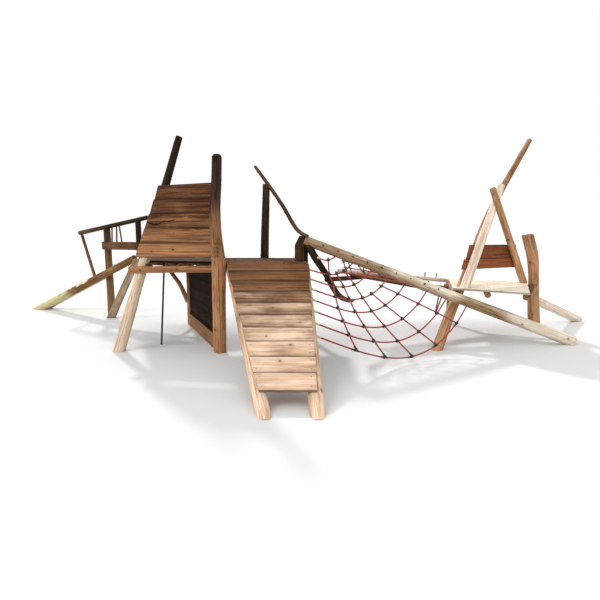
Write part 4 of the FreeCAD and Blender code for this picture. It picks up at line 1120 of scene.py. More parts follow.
def squared(foot: Sequence[float], head: Sequence[float], wood: Wood, shade: float) -> Board:
    """A squared and tapered post whose ends are level.

    Args:
        foot: X, Y, Z and side of its foot.
        head: the same of its head.
        wood: its finish.
        shade: its shade.

    Returns:
        The post as a board that stands up.
    """
    a, b = vec(*foot[:3]), vec(*head[:3])
    along = unit(b - a)
    across = unit(vec(1, 0, 0) - along * along[0])
    up = np.cross(along, across)
    slope, tilt = -across[2] / along[2], -up[2] / along[2]
    return Board(a, along, across, up, foot[3], foot[3], skewed(0.0, slope),
                 skewed(float(np.linalg.norm(b - a)), slope), wood, shade, corner=9.0, taper=head[3] / foot[3],
                 painted_edge_shade=0.1, tilt=tilt)


def clipped_ends(outline: Pairs, along: Array, across: Array,
                 middle: float) -> tuple[EndLine, EndLine]:
    """The two ends of a deck board, where lines along it cross the deck's outline.

    Args:
        outline: the deck's corners, in plan.
        along: the boards' direction.
        across: the direction over them.
        middle: where the board's middle line lies.

    Returns:
        The start and the end for places across the board.
    """
    corners = np.array(outline, dtype=float)
    u, v = corners @ along, corners @ across

    def crossing(w: Array, pick: Callable[[list[float]], float]) -> Array:
        """The first or the last place where each line crosses the outline's sides.

        Args:
            w: places across the board, from its middle.
            pick: min for the first crossing, max for the last.

        Returns:
            The crossings along the board.
        """
        found = []
        for place in np.clip(np.atleast_1d(w) + middle, v.min() + 0.01, v.max() - 0.01):
            hits = [mix(u[k - 1], u[k], (place - v[k - 1]) / (v[k] - v[k - 1])) for k in range(len(u))
                    if (v[k - 1] - place) * (v[k] - place) < 0]
            found.append(pick(hits))
        return np.array(found)

    return (lambda w: crossing(w, min)), (lambda w: crossing(w, max))


# ---- small round parts
def lathe(shape: Shape, base: Array, axis: Array, profile: Sequence[tuple[float, float]],
          sides: int = 24, flats: int = 0) -> None:
    """Add a turned part: a profile carried round an axis, and closed at both ends.

    Args:
        shape: what it is added to.
        base: where its height is zero.
        axis: the way of its height.
        profile: (radius, height) pairs.
        sides: columns round it.
        flats: of a hexagon; the radius is then divided by the cosine of the angle from a flat's middle.
    """
    axis = unit(axis)
    guide = UP if abs(axis[2]) < 0.9 else vec(1, 0, 0)
    right = unit(np.cross(guide, axis))
    front = np.cross(axis, right)
    angle = np.arange(sides) * 2 * math.pi / sides
    spoke = right * np.cos(angle)[:, None] + front * np.sin(angle)[:, None]
    if flats:
        sector = 2 * math.pi / flats
        spoke = spoke / np.cos((angle + sector / 2) % sector - sector / 2)[:, None]
    radii, heights = np.array(profile, dtype=float).T[:, :, None, None]
    made = shape.grid(base + spoke[None] * radii + axis * heights)
    shape.fan(made[0][::-1])
    shape.fan(made[-1])


WASHER = [(17, 0), (18, 0.5), (18, 2.4), (17, 3.0), (7, 3.0)]
HEXAGON = [(9.4, 0), (9.5, 0.4), (9.5, 6.2), (8.6, 7.6), (8.0, 8.0), (3, 7.2)]
THREAD_END = [(5.8, 0), (5.8, 12), (5.0, 13), (1.5, 13)]
SCREW_HEAD = [(3.6, 0), (5.4, 2.3), (5.2, 2.7), (2.2, 2.6), (1.9, 1.4), (0.8, 1.3)]


@dataclass(frozen=True)
class Bolt:
    """A through bolt between the seats of its head and its nut."""

    head: Array
    tail: Array
    shank: float = 6.0

    def shape(self) -> Shape:
        """The bolt's grids: its shank, and a washer and hexagon at both ends, the nut with its thread proud.

        Returns:
            The shape.
        """
        made = Shape()
        run = unit(self.tail - self.head)
        for seat, way in ((self.head, -run), (self.tail, run)):
            lathe(made, seat, way, WASHER, 28)
            lathe(made, seat + way * 3, way, HEXAGON, 36, flats=6)
        lathe(made, self.tail + run * 3, run, THREAD_END, 20)
        lathe(made, self.head, run, [(self.shank, 0), (self.shank, float(np.linalg.norm(self.tail - self.head)))], 16)
        return made


# ---- ropes
def rope_line(name: str, route: Array) -> Array:
    """The smooth line of a rope: a quadratic B-spline over its route.

    Args:
        name: for the curve that is read and then deleted.
        route: its control points.

    Returns:
        Points of the line.
    """
    curve = bpy.data.curves.new(name + "_route", "CURVE")
    curve.dimensions = "3D"
    curve.resolution_u = 24
    spline = curve.splines.new("NURBS")
    spline.points.add(len(route) - 1)
    spline.points.foreach_set("co", np.column_stack([route * MM, np.ones(len(route))]).ravel())
    spline.order_u = 3
    spline.use_endpoint_u = True
    holder = bpy.data.objects.new(name + "_route", curve)
    mesh = bpy.data.meshes.new_from_object(holder)
    points = np.empty(len(mesh.vertices) * 3)
    mesh.vertices.foreach_get("co", points)
    bpy.data.objects.remove(holder)
    bpy.data.curves.remove(curve)
    bpy.data.meshes.remove(mesh)
    return points.reshape(-1, 3) / MM


def straight_line(start: Array, end: Array, count: int) -> Array:
    """A count of points at even steps from start to end."""
    return mix(start, end, np.linspace(0, 1, count)[:, None])


def carried_frames(path: Array) -> tuple[Array, Array]:
    """Two directions square to a path, each taken from the one before it so that they don't twist.

    Args:
        path: points of the path.

    Returns:
        Both directions at each point.
    """
    tangent = unit(np.gradient(path, axis=0))
    side = unit(np.cross(tangent[0], UP if abs(tangent[0][2]) < 0.9 else vec(1, 0, 0)))
    sides = []
    for way in tangent:
        side = unit(side - way * (side @ way))
        sides.append(side)
    return np.array(sides), np.cross(tangent, np.array(sides))


def rope_shape(path: Array, dia: float, lay: float, strands: int = 3, step: float = 5.0,
               around: int = 18) -> Shape:
    """A laid rope: its radius follows a cosine with a crest for each strand, and turns along the path.

    Args:
        path: its line.
        dia: diameter over the strands.
        lay: length of a strand's full turn.
        strands: how many there are.
        step: distance between rings.
        around: columns round it.

    Returns:
        The rope's grids.
    """
    far = np.concatenate([[0], np.cumsum(np.linalg.norm(np.diff(path, axis=0), axis=1))])
    places = np.linspace(0, far[-1], max(4, int(far[-1] / step)))
    centre = np.stack([np.interp(places, far, path[:, c]) for c in range(3)], axis=-1)
    right, front = carried_frames(centre)
    angle = np.arange(around) * 2 * math.pi / around
    phase = (strands * (angle[None] - 2 * math.pi * places[:, None] / lay) / 2)
    crown = np.abs(np.cos(phase))**0.7
    radius = dia / 2 * (0.84 + 0.16 * crown)
    points = centre[:, None] + radius[..., None] * (
        right[:, None] * np.cos(angle)[None, :, None] + front[:, None] * np.sin(angle)[None, :, None])
    data = np.stack([np.sin(phase * 2), np.broadcast_to(places[:, None] * MM, phase.shape), 1 - crown], axis=-1)
    shape = Shape()
    made = shape.grid(points, lay=data)
    shape.fan(made[0][::-1])
    shape.fan(made[-1])
    return shape


# ---- groups of pieces
@dataclass
class Assembly:
    """A group of pieces that are fixed together. It keeps them in the order in which they are made."""

    pieces: list[bpy.types.Object] = field(default_factory=list, init=False)

    def build(self) -> None:
        """Make every piece of the group."""
        raise NotImplementedError

    def place(self, name: str, shape: Shape, finish: Enum, *nodes: str, smooth: bool = True) -> bpy.types.Object:
        """Turn a shape into a piece of the frame.

        Args:
            name: its name.
            shape: its grids.
            finish: its material.
            nodes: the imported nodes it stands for.
            smooth: whether it is shaded smooth.

        Returns:
            The new object.
        """
        mesh = shape.mesh(name)
        mesh.polygons.foreach_set("use_smooth", [smooth] * len(mesh.polygons))
        piece = bpy.data.objects.new(name, mesh)
        bpy.context.scene.collection.objects.link(piece)
        slot, material = FINISHES.get(finish)
        mesh.materials.append(material)
        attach(piece, "root")
        if nodes:
            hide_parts(*nodes)
        self.pieces.append(piece)
        return piece

    def log(self, name: str, timber: Timber, work: LogFinish, *nodes: str, **detail: float) -> None:
        """Make a log, with detail for its sides or its step."""
        self.place(name, PeeledLog(name, timber, work, **detail).shape(), work.wood, *nodes)

    def board(self, name: str, board: Board, *nodes: str) -> None:
        """Make a board."""
        self.place(name, board.shape(name), board.wood, *nodes)

    def bolt(self, name: str, bolt: Bolt, node: str) -> None:
        """Make a through bolt."""
        self.place(name, bolt.shape(), Hard.FIXING, node, smooth=False)

    def screws(self, name: str, spots: Iterable[tuple[Array, Array]]) -> None:
        """Make countersunk screw heads, each sunk a little into its board.

        Args:
            name: the piece's name.
            spots: a point on a face and the way out of it for each.
        """
        shape = Shape()
        for spot, way in spots:
            lathe(shape, spot - way * 2.0, way, SCREW_HEAD, 16)
        self.place(name, shape, Hard.FIXING)

    def rope(self, name: str, route: Array, exit_point: Array, finish: Enum, *nodes: str) -> None:
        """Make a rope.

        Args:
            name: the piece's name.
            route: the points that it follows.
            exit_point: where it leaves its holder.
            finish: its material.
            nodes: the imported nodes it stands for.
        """
        line = rope_line(name, route)
        piece = self.place(name, rope_shape(line, LAID_DIA, 62.0), finish, *nodes)
        tuple(to_row(exit_point))
        to_row(line).tolist()

    def deck(self, name: str, outline: Pairs, top: float, direction: Sequence[float], node: str,
             wood: Wood, look: Callable[[int], tuple[float, float]]) -> list[Board]:
        """Make boards that lie side by side and are trimmed to an outline.

        Args:
            name: the start of their names.
            outline: the deck's corners, in plan.
            top: the height of its face.
            direction: the way they run.
            node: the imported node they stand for.
            wood: their finish.
            look: shade and tone by number.

        Returns:
            The boards.
        """
        along = unit(vec(*direction))
        across = vec(-along[1], along[0])
        places = np.array(outline, dtype=float) @ across
        start, reach = places.min(), places.max() - places.min()
        count = max(1, round(reach / DECK_BOARD_WIDTH))
        pitch = (reach + BOARD_GAP) / count
        boards = []
        for k in range(count):
            middle = start + (k + 0.5) * pitch - BOARD_GAP / 2
            origin = vec(*(across * middle), top - BOARD_THICK / 2)
            boards.append(Board(origin, vec(*along, 0), vec(*across, 0), UP, pitch - BOARD_GAP, BOARD_THICK,
                                *clipped_ends(outline, along, across, middle), wood, *look(k), corner=4.0))
            self.board("%s_%02d" % (name, k + 1), boards[-1], node)
        return boards


# A clamp's round body, and a collar with a lip at both ends: (radius, height) pairs.
PUCK = [(10, -22.5), (14.5, -21.8), (17.6, -18.5), (19, -12), (19.2, -4), (19.2, -1.2), (18.2, -0.8), (18.2, 0.8),
        (19.2, 1.2), (19.2, 4), (19, 12), (17.6, 18.5), (14.5, 21.8), (10, 22.5), (4, 22.7)]
CLAMP_SCREW = [(7.5, 0), (7.2, 2.6), (6.2, 3.2), (3.4, 3.2), (3.2, 0.8), (1, 0.8)]


def collar(half: float) -> list[tuple[float, float]]:
    """The profile of a lipped collar that reaches half its length to both sides."""
    return [(11.2, -half), (12.6, -half + 1), (13.2, -half + 3), (12.2, -half + 6), (12.2, half - 6),
            (13.2, half - 3), (12.6, half - 1), (11.2, half)]


@dataclass(frozen=True)
class Crossing:
    """Where a down rope passes over an across rope, and how both run there."""

    point: Array
    across: Array
    down: Array
    normal: Array
    web: float = 2.0  # wall between the two ropes in a clamp
    halves: tuple[float, float] = (24.0, 50.0)  # half the length of a clamp's collar, and of an edge sleeve

    @property
    def over(self) -> Array:
        """The down rope's middle."""
        return self.point + self.normal * (ROPE_DIA + self.web)

    def clamp(self, sleeve: bool) -> Shape:
        """A two-way clamp: a parted round body, a collar round each rope and a screw; or an edge sleeve.

        Args:
            sleeve: whether it is long, with a socket for the down rope.

        Returns:
            The clamp's grids.
        """
        shape = Shape()
        half = self.halves[sleeve]
        middle = (self.point + self.over) / 2
        lathe(shape, middle, self.normal, PUCK, 32)
        lathe(shape, middle + self.normal * 22.0, self.normal, CLAMP_SCREW, 24)
        lathe(shape, self.point, self.across, collar(half), 24)
        if sleeve:
            socket = [(12.6, -10), (12.6, half - 14), (13.8, half - 10), (13.2, half - 6), (11.2, half - 5)]
            lathe(shape, self.over, -self.down, socket, 24)
        else:
            lathe(shape, self.over, self.down, collar(half), 24)
        return shape


@dataclass
class CargoNet(Assembly):
    """The cargo net: eight ropes across from the ramp to the beam, five down over them, and their fittings."""

    first_anchor: float = -1265.0  # Y of the first rope across on the ramp's log
    anchor_pitch: float = 206.0
    branch_tie: float = 1293.0  # height of the last rope's tie on the branch
    sag: float = 0.18  # as a share of a rope's span
    lean: float = 0.38  # how much deeper it hangs towards the beam
    forward: float = 0.04
    shares: Floats = (0.207, 0.382, 0.562, 0.740, 0.905)
    gather: Floats = (0.36, 0.35, 0.34, 0.05, -0.12)
    clamp_across: float = 44.0
    clamp_grip: float = 50.0  # how far a rope runs straight from a clamp
    ferrule: float = 56.0
    sling_tops: Pairs = ((2425, -7), (2478, 7))  # X on the beam, place on the clamp

    def ramp_anchor(self, row: int) -> Array:
        """Where an across rope leaves the ramp's right log; the last one is tied to the branch.

        Args:
            row: the rope's number.

        Returns:
            The point.
        """
        if row == len(BEAM_ANCHORS) - 1:
            middle, dia = BRANCH.station(2, self.branch_tie)
            return middle + unit(vec(0.6, -0.8, 0)) * dia / 2
        middle, radius = STRINGERS["right"].reached(1, self.first_anchor + row * self.anchor_pitch)
        return middle + vec(radius, 0, 0)

    def beam_anchor(self, row: int) -> Array:
        """Where an across rope enters the lower front of the beam."""
        middle, radius = (BEAM_UPPER if BEAM_ANCHORS[row] < BEAM_SCARF_X else BEAM_LOWER).reached(0, BEAM_ANCHORS[row])
        return middle + unit(vec(0, -1, -1.2)) * radius

    def across_point(self, row: int, share: float) -> Array:
        """A point of a hanging across rope: a parabola, made deeper towards the beam by a straight line.

        Args:
            row: the rope's number.
            share: how far along its span the point lies.

        Returns:
            The point.
        """
        left, right = self.ramp_anchor(row), self.beam_anchor(row)
        span = np.linalg.norm(right - left)
        bow = 4 * share * (1 - share) * (1 + self.lean * (2 * share - 1))
        return mix(left, right, share) + vec(0, -self.forward, -self.sag) * span * bow

    def crossing_share(self, row: int, column: int) -> float:
        """How far along an across rope a down rope crosses it: even, then gathered by the cube of its row."""
        return self.shares[column] + self.gather[column] * (row / (len(BEAM_ANCHORS) - 1)) ** 3

    def crossing(self, row: int, column: int) -> Crossing:
        """The place where a down rope passes over an across rope.

        Args:
            row: the across rope's number.
            column: the down rope's number.

        Returns:
            The crossing.
        """
        share = self.crossing_share(row, column)
        across = unit(self.across_point(row, share + 0.01) - self.across_point(row, share - 0.01))
        ahead, behind = (self.across_point(near, self.crossing_share(near, column))
                         for near in (max(row - 1, 0), min(row + 1, DOWN_ROWS[column] - 1)))
        down = unit(ahead - behind)
        normal = unit(np.cross(across, down))
        return Crossing(self.across_point(row, share), across, down, normal if normal[2] > 0 else -normal)

    def grip(self, here: Array, there: Array) -> float:
        """How far from a clamp's middle the rope starts to bend on its way to the next point."""
        return min(self.clamp_grip, 0.32 * float(np.linalg.norm(there - here)))

    def across_route(self, row: int) -> Array:
        """The route of an across rope: straight through each clamp, hanging freely between them.

        Args:
            row: the rope's number.

        Returns:
            The route.
        """
        left, right = self.ramp_anchor(row), self.beam_anchor(row)
        columns = [c for c in range(len(DOWN_ROWS)) if row < DOWN_ROWS[c]]
        shares = [0.0] + [self.crossing_share(row, c) for c in columns] + [1.0]
        first = unit(self.across_point(row, shares[1] * 0.5) - left)
        last = unit(right - self.across_point(row, mix(shares[-2], 1.0, 0.5)))
        reach = float(np.linalg.norm(self.across_point(row, shares[1]) - left))
        points = [left - first * ROPE_BITE, left + first * min(self.ferrule + 14, 0.3 * reach)]
        for k, column in enumerate(columns):
            here = self.crossing(row, column)
            before, after = self.across_point(row, shares[k]), self.across_point(row, shares[k + 2])
            if np.linalg.norm(here.point - points[-1]) > 190:
                points.append(self.across_point(row, mix(shares[k], shares[k + 1], 0.58 if k == 0 else 0.5)))
            points += [here.point - here.across * self.grip(here.point, before),
                       here.point + here.across * self.grip(here.point, after)]
        if np.linalg.norm(right - points[-1]) > 170:
            points.append(self.across_point(row, mix(shares[-2], 1.0, 0.5)))
        return np.array(points + [right + last * ROPE_BITE])

    def down_route(self, column: int) -> Array:
        """The route of a down rope, from inside the front rope's sleeve to just past its last clamp.

        Args:
            column: the rope's number.

        Returns:
            The route.
        """
        clamps = [self.crossing(row, column) for row in range(DOWN_ROWS[column])]
        points = [clamps[0].over + clamps[0].down * (self.clamp_across / 2 - 4)]
        for clamp, following in zip(clamps, clamps[1:]):
            hold = self.grip(clamp.over, following.over)
            points += [clamp.over - clamp.down * hold, following.over + following.down * hold]
        return np.array(points + [clamps[-1].over - clamps[-1].down * (self.clamp_across / 2 + 12)])

    def end_sleeve(self, row: int, route: Array) -> None:
        """Make the stepped sleeve where an across rope leaves the ramp.

        Args:
            row: the rope's number.
            route: its route.
        """
        way = unit(route[1] - route[0])
        anchor = self.ramp_anchor(row)
        length = min(self.ferrule, float(np.linalg.norm(route[1] - anchor)))
        sleeve = Shape()
        lathe(sleeve, anchor - way * 6, way,
              [(15, 0), (15, 9), (13.6, 11), (13.6, length * 0.55), (12.6, length * 0.6), (12.6, length - 5),
               (13.4, length - 4), (13.4, length - 1), (12.2, length), (9.2, length)], 28)
        self.place("net_end_sleeve_%d" % (row + 1), sleeve, Hard.SLEEVE, "net_end_sleeves")

    def sling(self) -> None:
        """Make the two cords that hold the second row's last clamp up to the beam."""
        clamp = self.crossing(1, len(DOWN_ROWS) - 1)
        for k, (x, side) in enumerate(self.sling_tops):
            top, radius = BEAM_UPPER.reached(0, x)
            foot = clamp.point - clamp.normal * 7 - clamp.down * 16 + clamp.across * side
            line = straight_line(top + unit(foot - top) * (radius - 14), foot, 20)
            self.place("net_sling_cord_%d" % (k + 1), rope_shape(line, 20.0, 46.0), Hard.SLING, "net_sling")

    def build(self) -> None:
        """Make the ropes, their sleeves and clamps, and the sling."""
        for row in range(len(BEAM_ANCHORS)):
            name = "net_rope_across_%d" % (row + 1)
            route = self.across_route(row)
            self.rope(name + "_laid", route, self.ramp_anchor(row), Hard.NET_ROPE, name)
            self.end_sleeve(row, route)
        for column, rows in enumerate(DOWN_ROWS):
            name = "net_rope_down_%d" % (column + 1)
            route = self.down_route(column)
            self.rope(name + "_laid", route, route[0], Hard.NET_ROPE, name)
            for row in range(rows):
                self.place("net_clamp_%d_%d" % (row + 1, column + 1), self.crossing(row, column).clamp(row == 0),
                           Hard.CLAMP, "net_cross_clamps" if row else "net_edge_sleeves")
        self.sling()


@dataclass
class Bridge(Assembly):
    """The plank bridge between the branch and the low tower, with its ropes and straps."""

    sill: Timber = Timber.straight((810, 150, 985), (1530, 1500, 895), 74, 66)
    far_beam: Timber = Timber.straight((1065, 1300, 1010), (3062, 1895, 798), 74, 68)
    peg_shares: Floats = (0.78, 0.892)
    hangers: Pairs = ((1085, 0.02), (1290, 0.15), (1494, 0.29))  # X on beam, plank share
    ropes: int = 5
    rope_first: float = 1030.0
    rope_pitch: float = 204.0
    sag: float = 0.025

    def timbers(self) -> Board:
        """Make the sill, the far beam with its pegs and the planks.

        Returns:
            The near plank, which the straps hold up.
        """
        pale = Wood.PALE_LOG
        self.log("bridge_sill_log", self.sill, LogFinish(Wood.DARK_LOG, (0.6, 0.75), knot_pitch=260), "bridge_sill",
                 sides=32)
        self.log("far_beam_log", self.far_beam, LogFinish(pale, (0.35, 0.3, 0.2), knot_pitch=300), "far_beam", sides=32)
        for k, share in enumerate(self.peg_shares):
            foot = self.far_beam.at(share)
            peg = Timber.straight(foot + vec(0, 0, 10), foot + vec(6, 0, 118), 30, 26)
            self.log("far_beam_peg_%d" % (k + 1), peg, LogFinish(pale, (0.3, 0.4), crown=10.0), "far_beam", sides=20,
                     step=12)
        flat = vec(0, 1, 0)
        near = plank((1230, 1053, 983), (2900, 978, 683), 300, 40, Wood.BACK, flat, shade=0.15, corner=6.0)
        back = plank((1400, 1327, 957), (3070, 1612, 683), 250, 40, Wood.BACK, flat, shade=0.3, corner=6.0)
        self.board("bridge_plank_near", near, "bridge_planks")
        self.board("bridge_plank_back", back, "bridge_planks")
        return near

    def straps(self, near: Board) -> None:
        """Make the straps from the beam to the near plank, and the one at the low deck.

        Args:
            near: the near plank.
        """
        lines = []
        for beam_x, share in self.hangers:
            low = near.origin + near.along * near.reach()[1] * share - near.across * near.width / 2
            top, radius = BEAM_UPPER.reached(0, beam_x)
            way = unit(low - top)
            lines.append((top + way * (radius - 14), low + way * 14, 18.0))
        joist = LOW_JOISTS[0].at(0.04) + unit(vec(-1, 0, 0.6)) * JOIST_DIA / 2
        far = self.far_beam.at(0.985)
        lines.append((joist - unit(far - joist) * 12, far, 22.0))
        for k, (top, low, dia) in enumerate(lines):
            self.place("bridge_hanger_%d" % (k + 1),
                       rope_shape(straight_line(top, low, 24), dia, 45.0, strands=2, around=16), Hard.STRAP,
                       "bridge_hangers")

    def netting(self) -> None:
        """Make the cross ropes, which hang in parabolas, their clamps and the two ropes laid over them."""
        lines = [[], []]
        clamps = Shape()
        for k in range(self.ropes):
            near, radius = BEAM_UPPER.reached(0, self.rope_first + self.rope_pitch * k)
            near = near - BEAM_FRONT * radius
            share = 0.07 + 0.155 * k
            far = self.far_beam.at(share) + unit(vec(0.28, -1, 0.1)) * self.far_beam.dia(share) / 2
            drop = self.sag * float(np.linalg.norm(far - near))
            middle = [mix(near, far, t) - UP * drop * 4 * t * (1 - t) for t in (0.2, 0.4, 0.6, 0.8)]
            route = np.array([near - unit(middle[0] - near) * 20] + middle + [far + unit(far - middle[-1]) * 20])
            self.rope("bridge_rope_cross_%d" % (k + 1), route, near, Hard.BRIDGE_ROPE, "bridge_net_ropes")
            for line, (a, b) in zip(lines, (middle[:2], middle[2:])):
                spot = mix(a, b, 0.5)
                line.append(spot + UP * (ROPE_DIA + 0.6))
                lathe(clamps, spot + UP * ROPE_DIA / 2, UP, PUCK, 24)
                lathe(clamps, spot, a - b, [(11, -22), (13, -19), (13, 19), (11, 22)], 20)
        self.place("bridge_rope_clamps", clamps, Hard.CLAMP)
        for side, line in enumerate(lines):
            line[0] = line[0] + (line[0] - line[1]) * 0.12
            line[-1] = line[-1] + (line[-1] - line[-2]) * 0.12
            self.rope("bridge_rope_long_%d" % (side + 1), np.array(line), line[0], Hard.BRIDGE_ROPE, "bridge_net_ropes")

    def build(self) -> None:
        """Make the timbers, the straps and the netting."""
        self.straps(self.timbers())
        self.netting()


@dataclass
class NearBeam(Assembly):
    """The spliced beam over the net, its bolts, and the branch under it."""

    splice: float = 325.0  # half the slanted splice's length
    bolts: int = 9
    bolt_first: float = 262.0
    bolt_pitch: float = 218.0
    bolt_rise: float = 18.0  # degrees above the beam's front
    splice_bolts: Floats = (-95.0, 95.0)

    def logs(self) -> None:
        """Make both logs, each planed to the splice's slant, and the branch."""
        # under: painted shade on the upper log's underside
        upper = LogFinish(Wood.BEAM, (0.95, 0.75, 0.5, 0.3), rough=0.8, under=0.3,
                          knots=(Knot(60, 420, 11), Knot(300, 900, 13), Knot(420, 1430, 12), Knot(190, 1980, 15)),
                          head_cuts=(Plane(SCARF_AT + BEAM.run * self.splice, -BEAM.run),),
                          planed=(Plane(SCARF_AT, -SCARF_UP),))
        self.log("near_beam_upper_log", BEAM_UPPER, upper, "near_beam_upper")
        # under: painted shade on the lower log's underside
        lower = LogFinish(Wood.BEAM, (0.1, 0.05, 0.0, 0.0, 0.9, 1.0, 0.6, 0.05, 0.0, 0.0, 0.0), rough=0.8, under=0.35,
                          foot_cuts=(Plane(SCARF_AT - BEAM.run * self.splice, BEAM.run),),
                          head_cuts=(Plane(BEAM_LOWER.head, -BEAM.run), GROUND), planed=(Plane(SCARF_AT, SCARF_UP),))
        self.log("near_beam_lower_log", BEAM_LOWER, lower, "near_beam_lower")

    def build(self) -> None:
        """Make the logs, the bolts along the face and through the splice, and the branch."""
        self.logs()
        toward = unit(BEAM_FRONT + BEAM_LIFT * math.tan(math.radians(self.bolt_rise)))
        reach = float(np.linalg.norm(SCARF_AT - BEAM.foot))
        for k in range(self.bolts):
            along = self.bolt_first + k * self.bolt_pitch
            timber = BEAM_UPPER if along < reach else BEAM_LOWER
            middle = BEAM.foot + BEAM.run * along
            radius = timber.dia(float((middle - timber.foot) @ timber.run) / timber.length) / 2
            bolt = Bolt(middle + toward * (radius - 4), middle - toward * (radius - 4))
            self.bolt("beam_bolt_%d" % (k + 1), bolt, "net_beam_bolts")
        for k, offset in enumerate(self.splice_bolts):
            middle = SCARF_AT + BEAM.run * offset
            self.bolt("splice_bolt_%d" % (k + 1), Bolt(middle + SCARF_UP * 70, middle - SCARF_UP * 70), "timber_bolts")
        branch = LogFinish(Wood.DARK_LOG, (0.85, 0.95, 0.8, 0.15), knot_pitch=190, rough=2.0)
        self.log("branch_brace_log", BRANCH, branch, "branch_brace", step=14)


@dataclass
class Ramp(Assembly):
    """The ramp: boards of different length and tone on two logs, with their screws."""

    bare: float = 382.0  # of the logs below the last board
    head_edges: tuple[float, float] = (-558.0, 548.0)
    toe_edges: tuple[float, float] = (56.0, 602.0)
    uneven: Floats = (0, 4, -3, 6, 2, -5, 3, 0, 5, -2)
    shades: Floats = (0.88, 0.95, 0.86, 0.72, 0.56, 0.48, 0.4, 0.34, 0.28, 0.24)
    tones: Floats = (0.98, 1.0, 0.9, 0.94, 0.98, 0.96, 1.04, 1.06, 1.0, 1.0)
    screw_insets: tuple[float, float] = (38.0, -48.0)

    def end(self, k: int, side: int, middle: float) -> EndLine:
        """A board's left end (side 0) or right one: a straight line from the ramp's head to its toe, a bit off it."""
        head, toe, run = self.head_edges[side], self.toe_edges[side], RAMP_LENGTH - self.bare
        return skewed(mix(head, toe, middle / run) + self.uneven[k] * (2 * side - 1), (head - toe) / run)

    def build(self) -> None:
        """Make the boards, their screws and the two logs."""
        pitch = (RAMP_LENGTH - self.bare) / len(self.shades)
        spots = []
        for k, (shade, tone) in enumerate(zip(self.shades, self.tones)):
            width, middle = pitch - BOARD_GAP, (k + 0.5) * pitch - BOARD_GAP / 2
            ends = [self.end(k, side, middle) for side in (0, 1)]
            board = Board(on_ramp(0, middle, -BOARD_THICK / 2), vec(1, 0, 0), -DOWN_SLOPE, OFF_SLOPE, width,
                          BOARD_THICK, *ends, Wood.RAMP, shade, tone, corner=4.5, stain=0.4 if k < 4 else 0.22)
            self.board("ramp_board_%02d" % (k + 1), board, "ramp_boards")
            spots += [(on_ramp(float(end(w)) + inset, middle - w, SCREW_PROUD), OFF_SLOPE)
                      for end, inset in zip(ends, self.screw_insets) for w in (-width * 0.27, width * 0.27)]
        self.screws("ramp_screws", spots)
        work = LogFinish(Wood.RAMP, (0.02, 0.25, 0.45, 0.6), knot_pitch=520,
                         foot_cuts=(Plane(vec(0, RAMP_HEAD_Y - RAMP_RUN + 75, 0), vec(0, 1, 0)), GROUND),
                         head_cuts=(Plane(vec(0, 45, 0), vec(0, -1, 0)),),
                         planed=(Plane(on_ramp(0, 0, -BOARD_THICK), -OFF_SLOPE),))
        for side, timber in STRINGERS.items():
            longer = Timber.straight(timber.at(-0.05), timber.head, timber.dia(-0.05), timber.dia(1))
            self.log("ramp_log_" + side, longer, work, "ramp_stringer_" + side)


@dataclass
class Landing(Assembly):
    """The landing's deck, its beams, the corner post, the tall squared post and the handrail."""

    header: Timber = level((-645, 70), (545, 70), 1150, 120)
    back_beam: Timber = level((-1190, 1080), (560, 1080), 1150, 120)
    leg: Timber = Timber.straight((430, 1080, 0), (430, 1080, 1150), 125, 115)
    joist_places: Floats = (-480, 300)
    handrail: Timber = Timber(((-264, 1200, 2662, 50), (-91, 1150, 2428, 56), (180, 695, 2034, 57),
                               (450, 200, 1630, 56), (540, 50, 1580, 53)))
    outline: Pairs = (
        (545, -15), (-560, -15), (tower_edge(75) + 3, 75), (tower_edge(1110) + 3, 1110), (545, 1110))
    corner_drop: float = 125.0  # how far the corner post's sawn corner drops

    def deck_look(self, k: int) -> tuple[float, float]:
        """Shade and tone of a deck board: all are drawn dark as painted shade, and the first one lighter as a painted
        highlight where it catches the light.
        """
        return 0.95, 0.8 if k == 0 else 0.45 + 0.05 * (k % 3)

    def corner_post(self) -> None:
        """Make the squared corner post, whose top falls evenly away on one side of its middle."""
        turn = math.radians(CORNER_POST_TURN)
        wide, deep, high = CORNER_POST_SIZE

        def top(w: Array) -> Array:
            """Level on one side of the middle, and a straight slope on the other."""
            return high + np.minimum(w, 0) * self.corner_drop / (wide / 2)

        post = Board(vec(*CORNER_POST_AT, 0), UP, vec(math.cos(turn), math.sin(turn), 0),
                     vec(-math.sin(turn), math.cos(turn), 0), wide, deep, skewed(0.0, 0.0), top, Wood.DARK_LOG, 0.82,
                     corner=7.0, cracks=(Crack(12, 900, 1580, 3.0), Crack(-30, 100, 700, 2.0)), painted_edge_shade=0.1)
        self.board("corner_post_timber", post, "corner_post")

    def build(self) -> None:
        """Make the beams, the deck, the posts and the handrail."""
        self.log("landing_header_log", self.header, LogFinish(Wood.POST, (0.35, 0.5)), "landing_header")
        hidden = LogFinish(Wood.TAN_LOG, (0.5, 0.6))
        for k, x in enumerate(self.joist_places):
            self.log("landing_joist_%d" % (k + 1), level((x, 85), (x, 1065), 1160, 100), hidden, "landing_joists",
                     step=40)
        self.log("landing_back_beam", self.back_beam, hidden, "landing_joists", step=40)
        self.log("landing_back_leg", self.leg, LogFinish(Wood.TAN_LOG, (0.3, 0.6)), "back_legs", step=40)
        boards = self.deck("landing_deck_board", self.outline, DECK_HEIGHT, (1, 0), "landing_deck_boards", Wood.RAMP,
                           self.deck_look)
        self.screws("landing_screws", [spot for b in boards for x in self.joist_places for spot in b.screw_pair(x)])
        self.corner_post()
        post = squared((-177, 1215, 0, 154), (-89, 1150, 2390, 103), Wood.DARK_LOG, 0.8)
        self.board("landing_post_timber", post, "landing_post")
        self.log("handrail_pole_log", self.handrail, LogFinish(Wood.DARK_LOG, (0.55, 0.7, 0.4), knot_pitch=260),
                 "handrail_pole", sides=28)


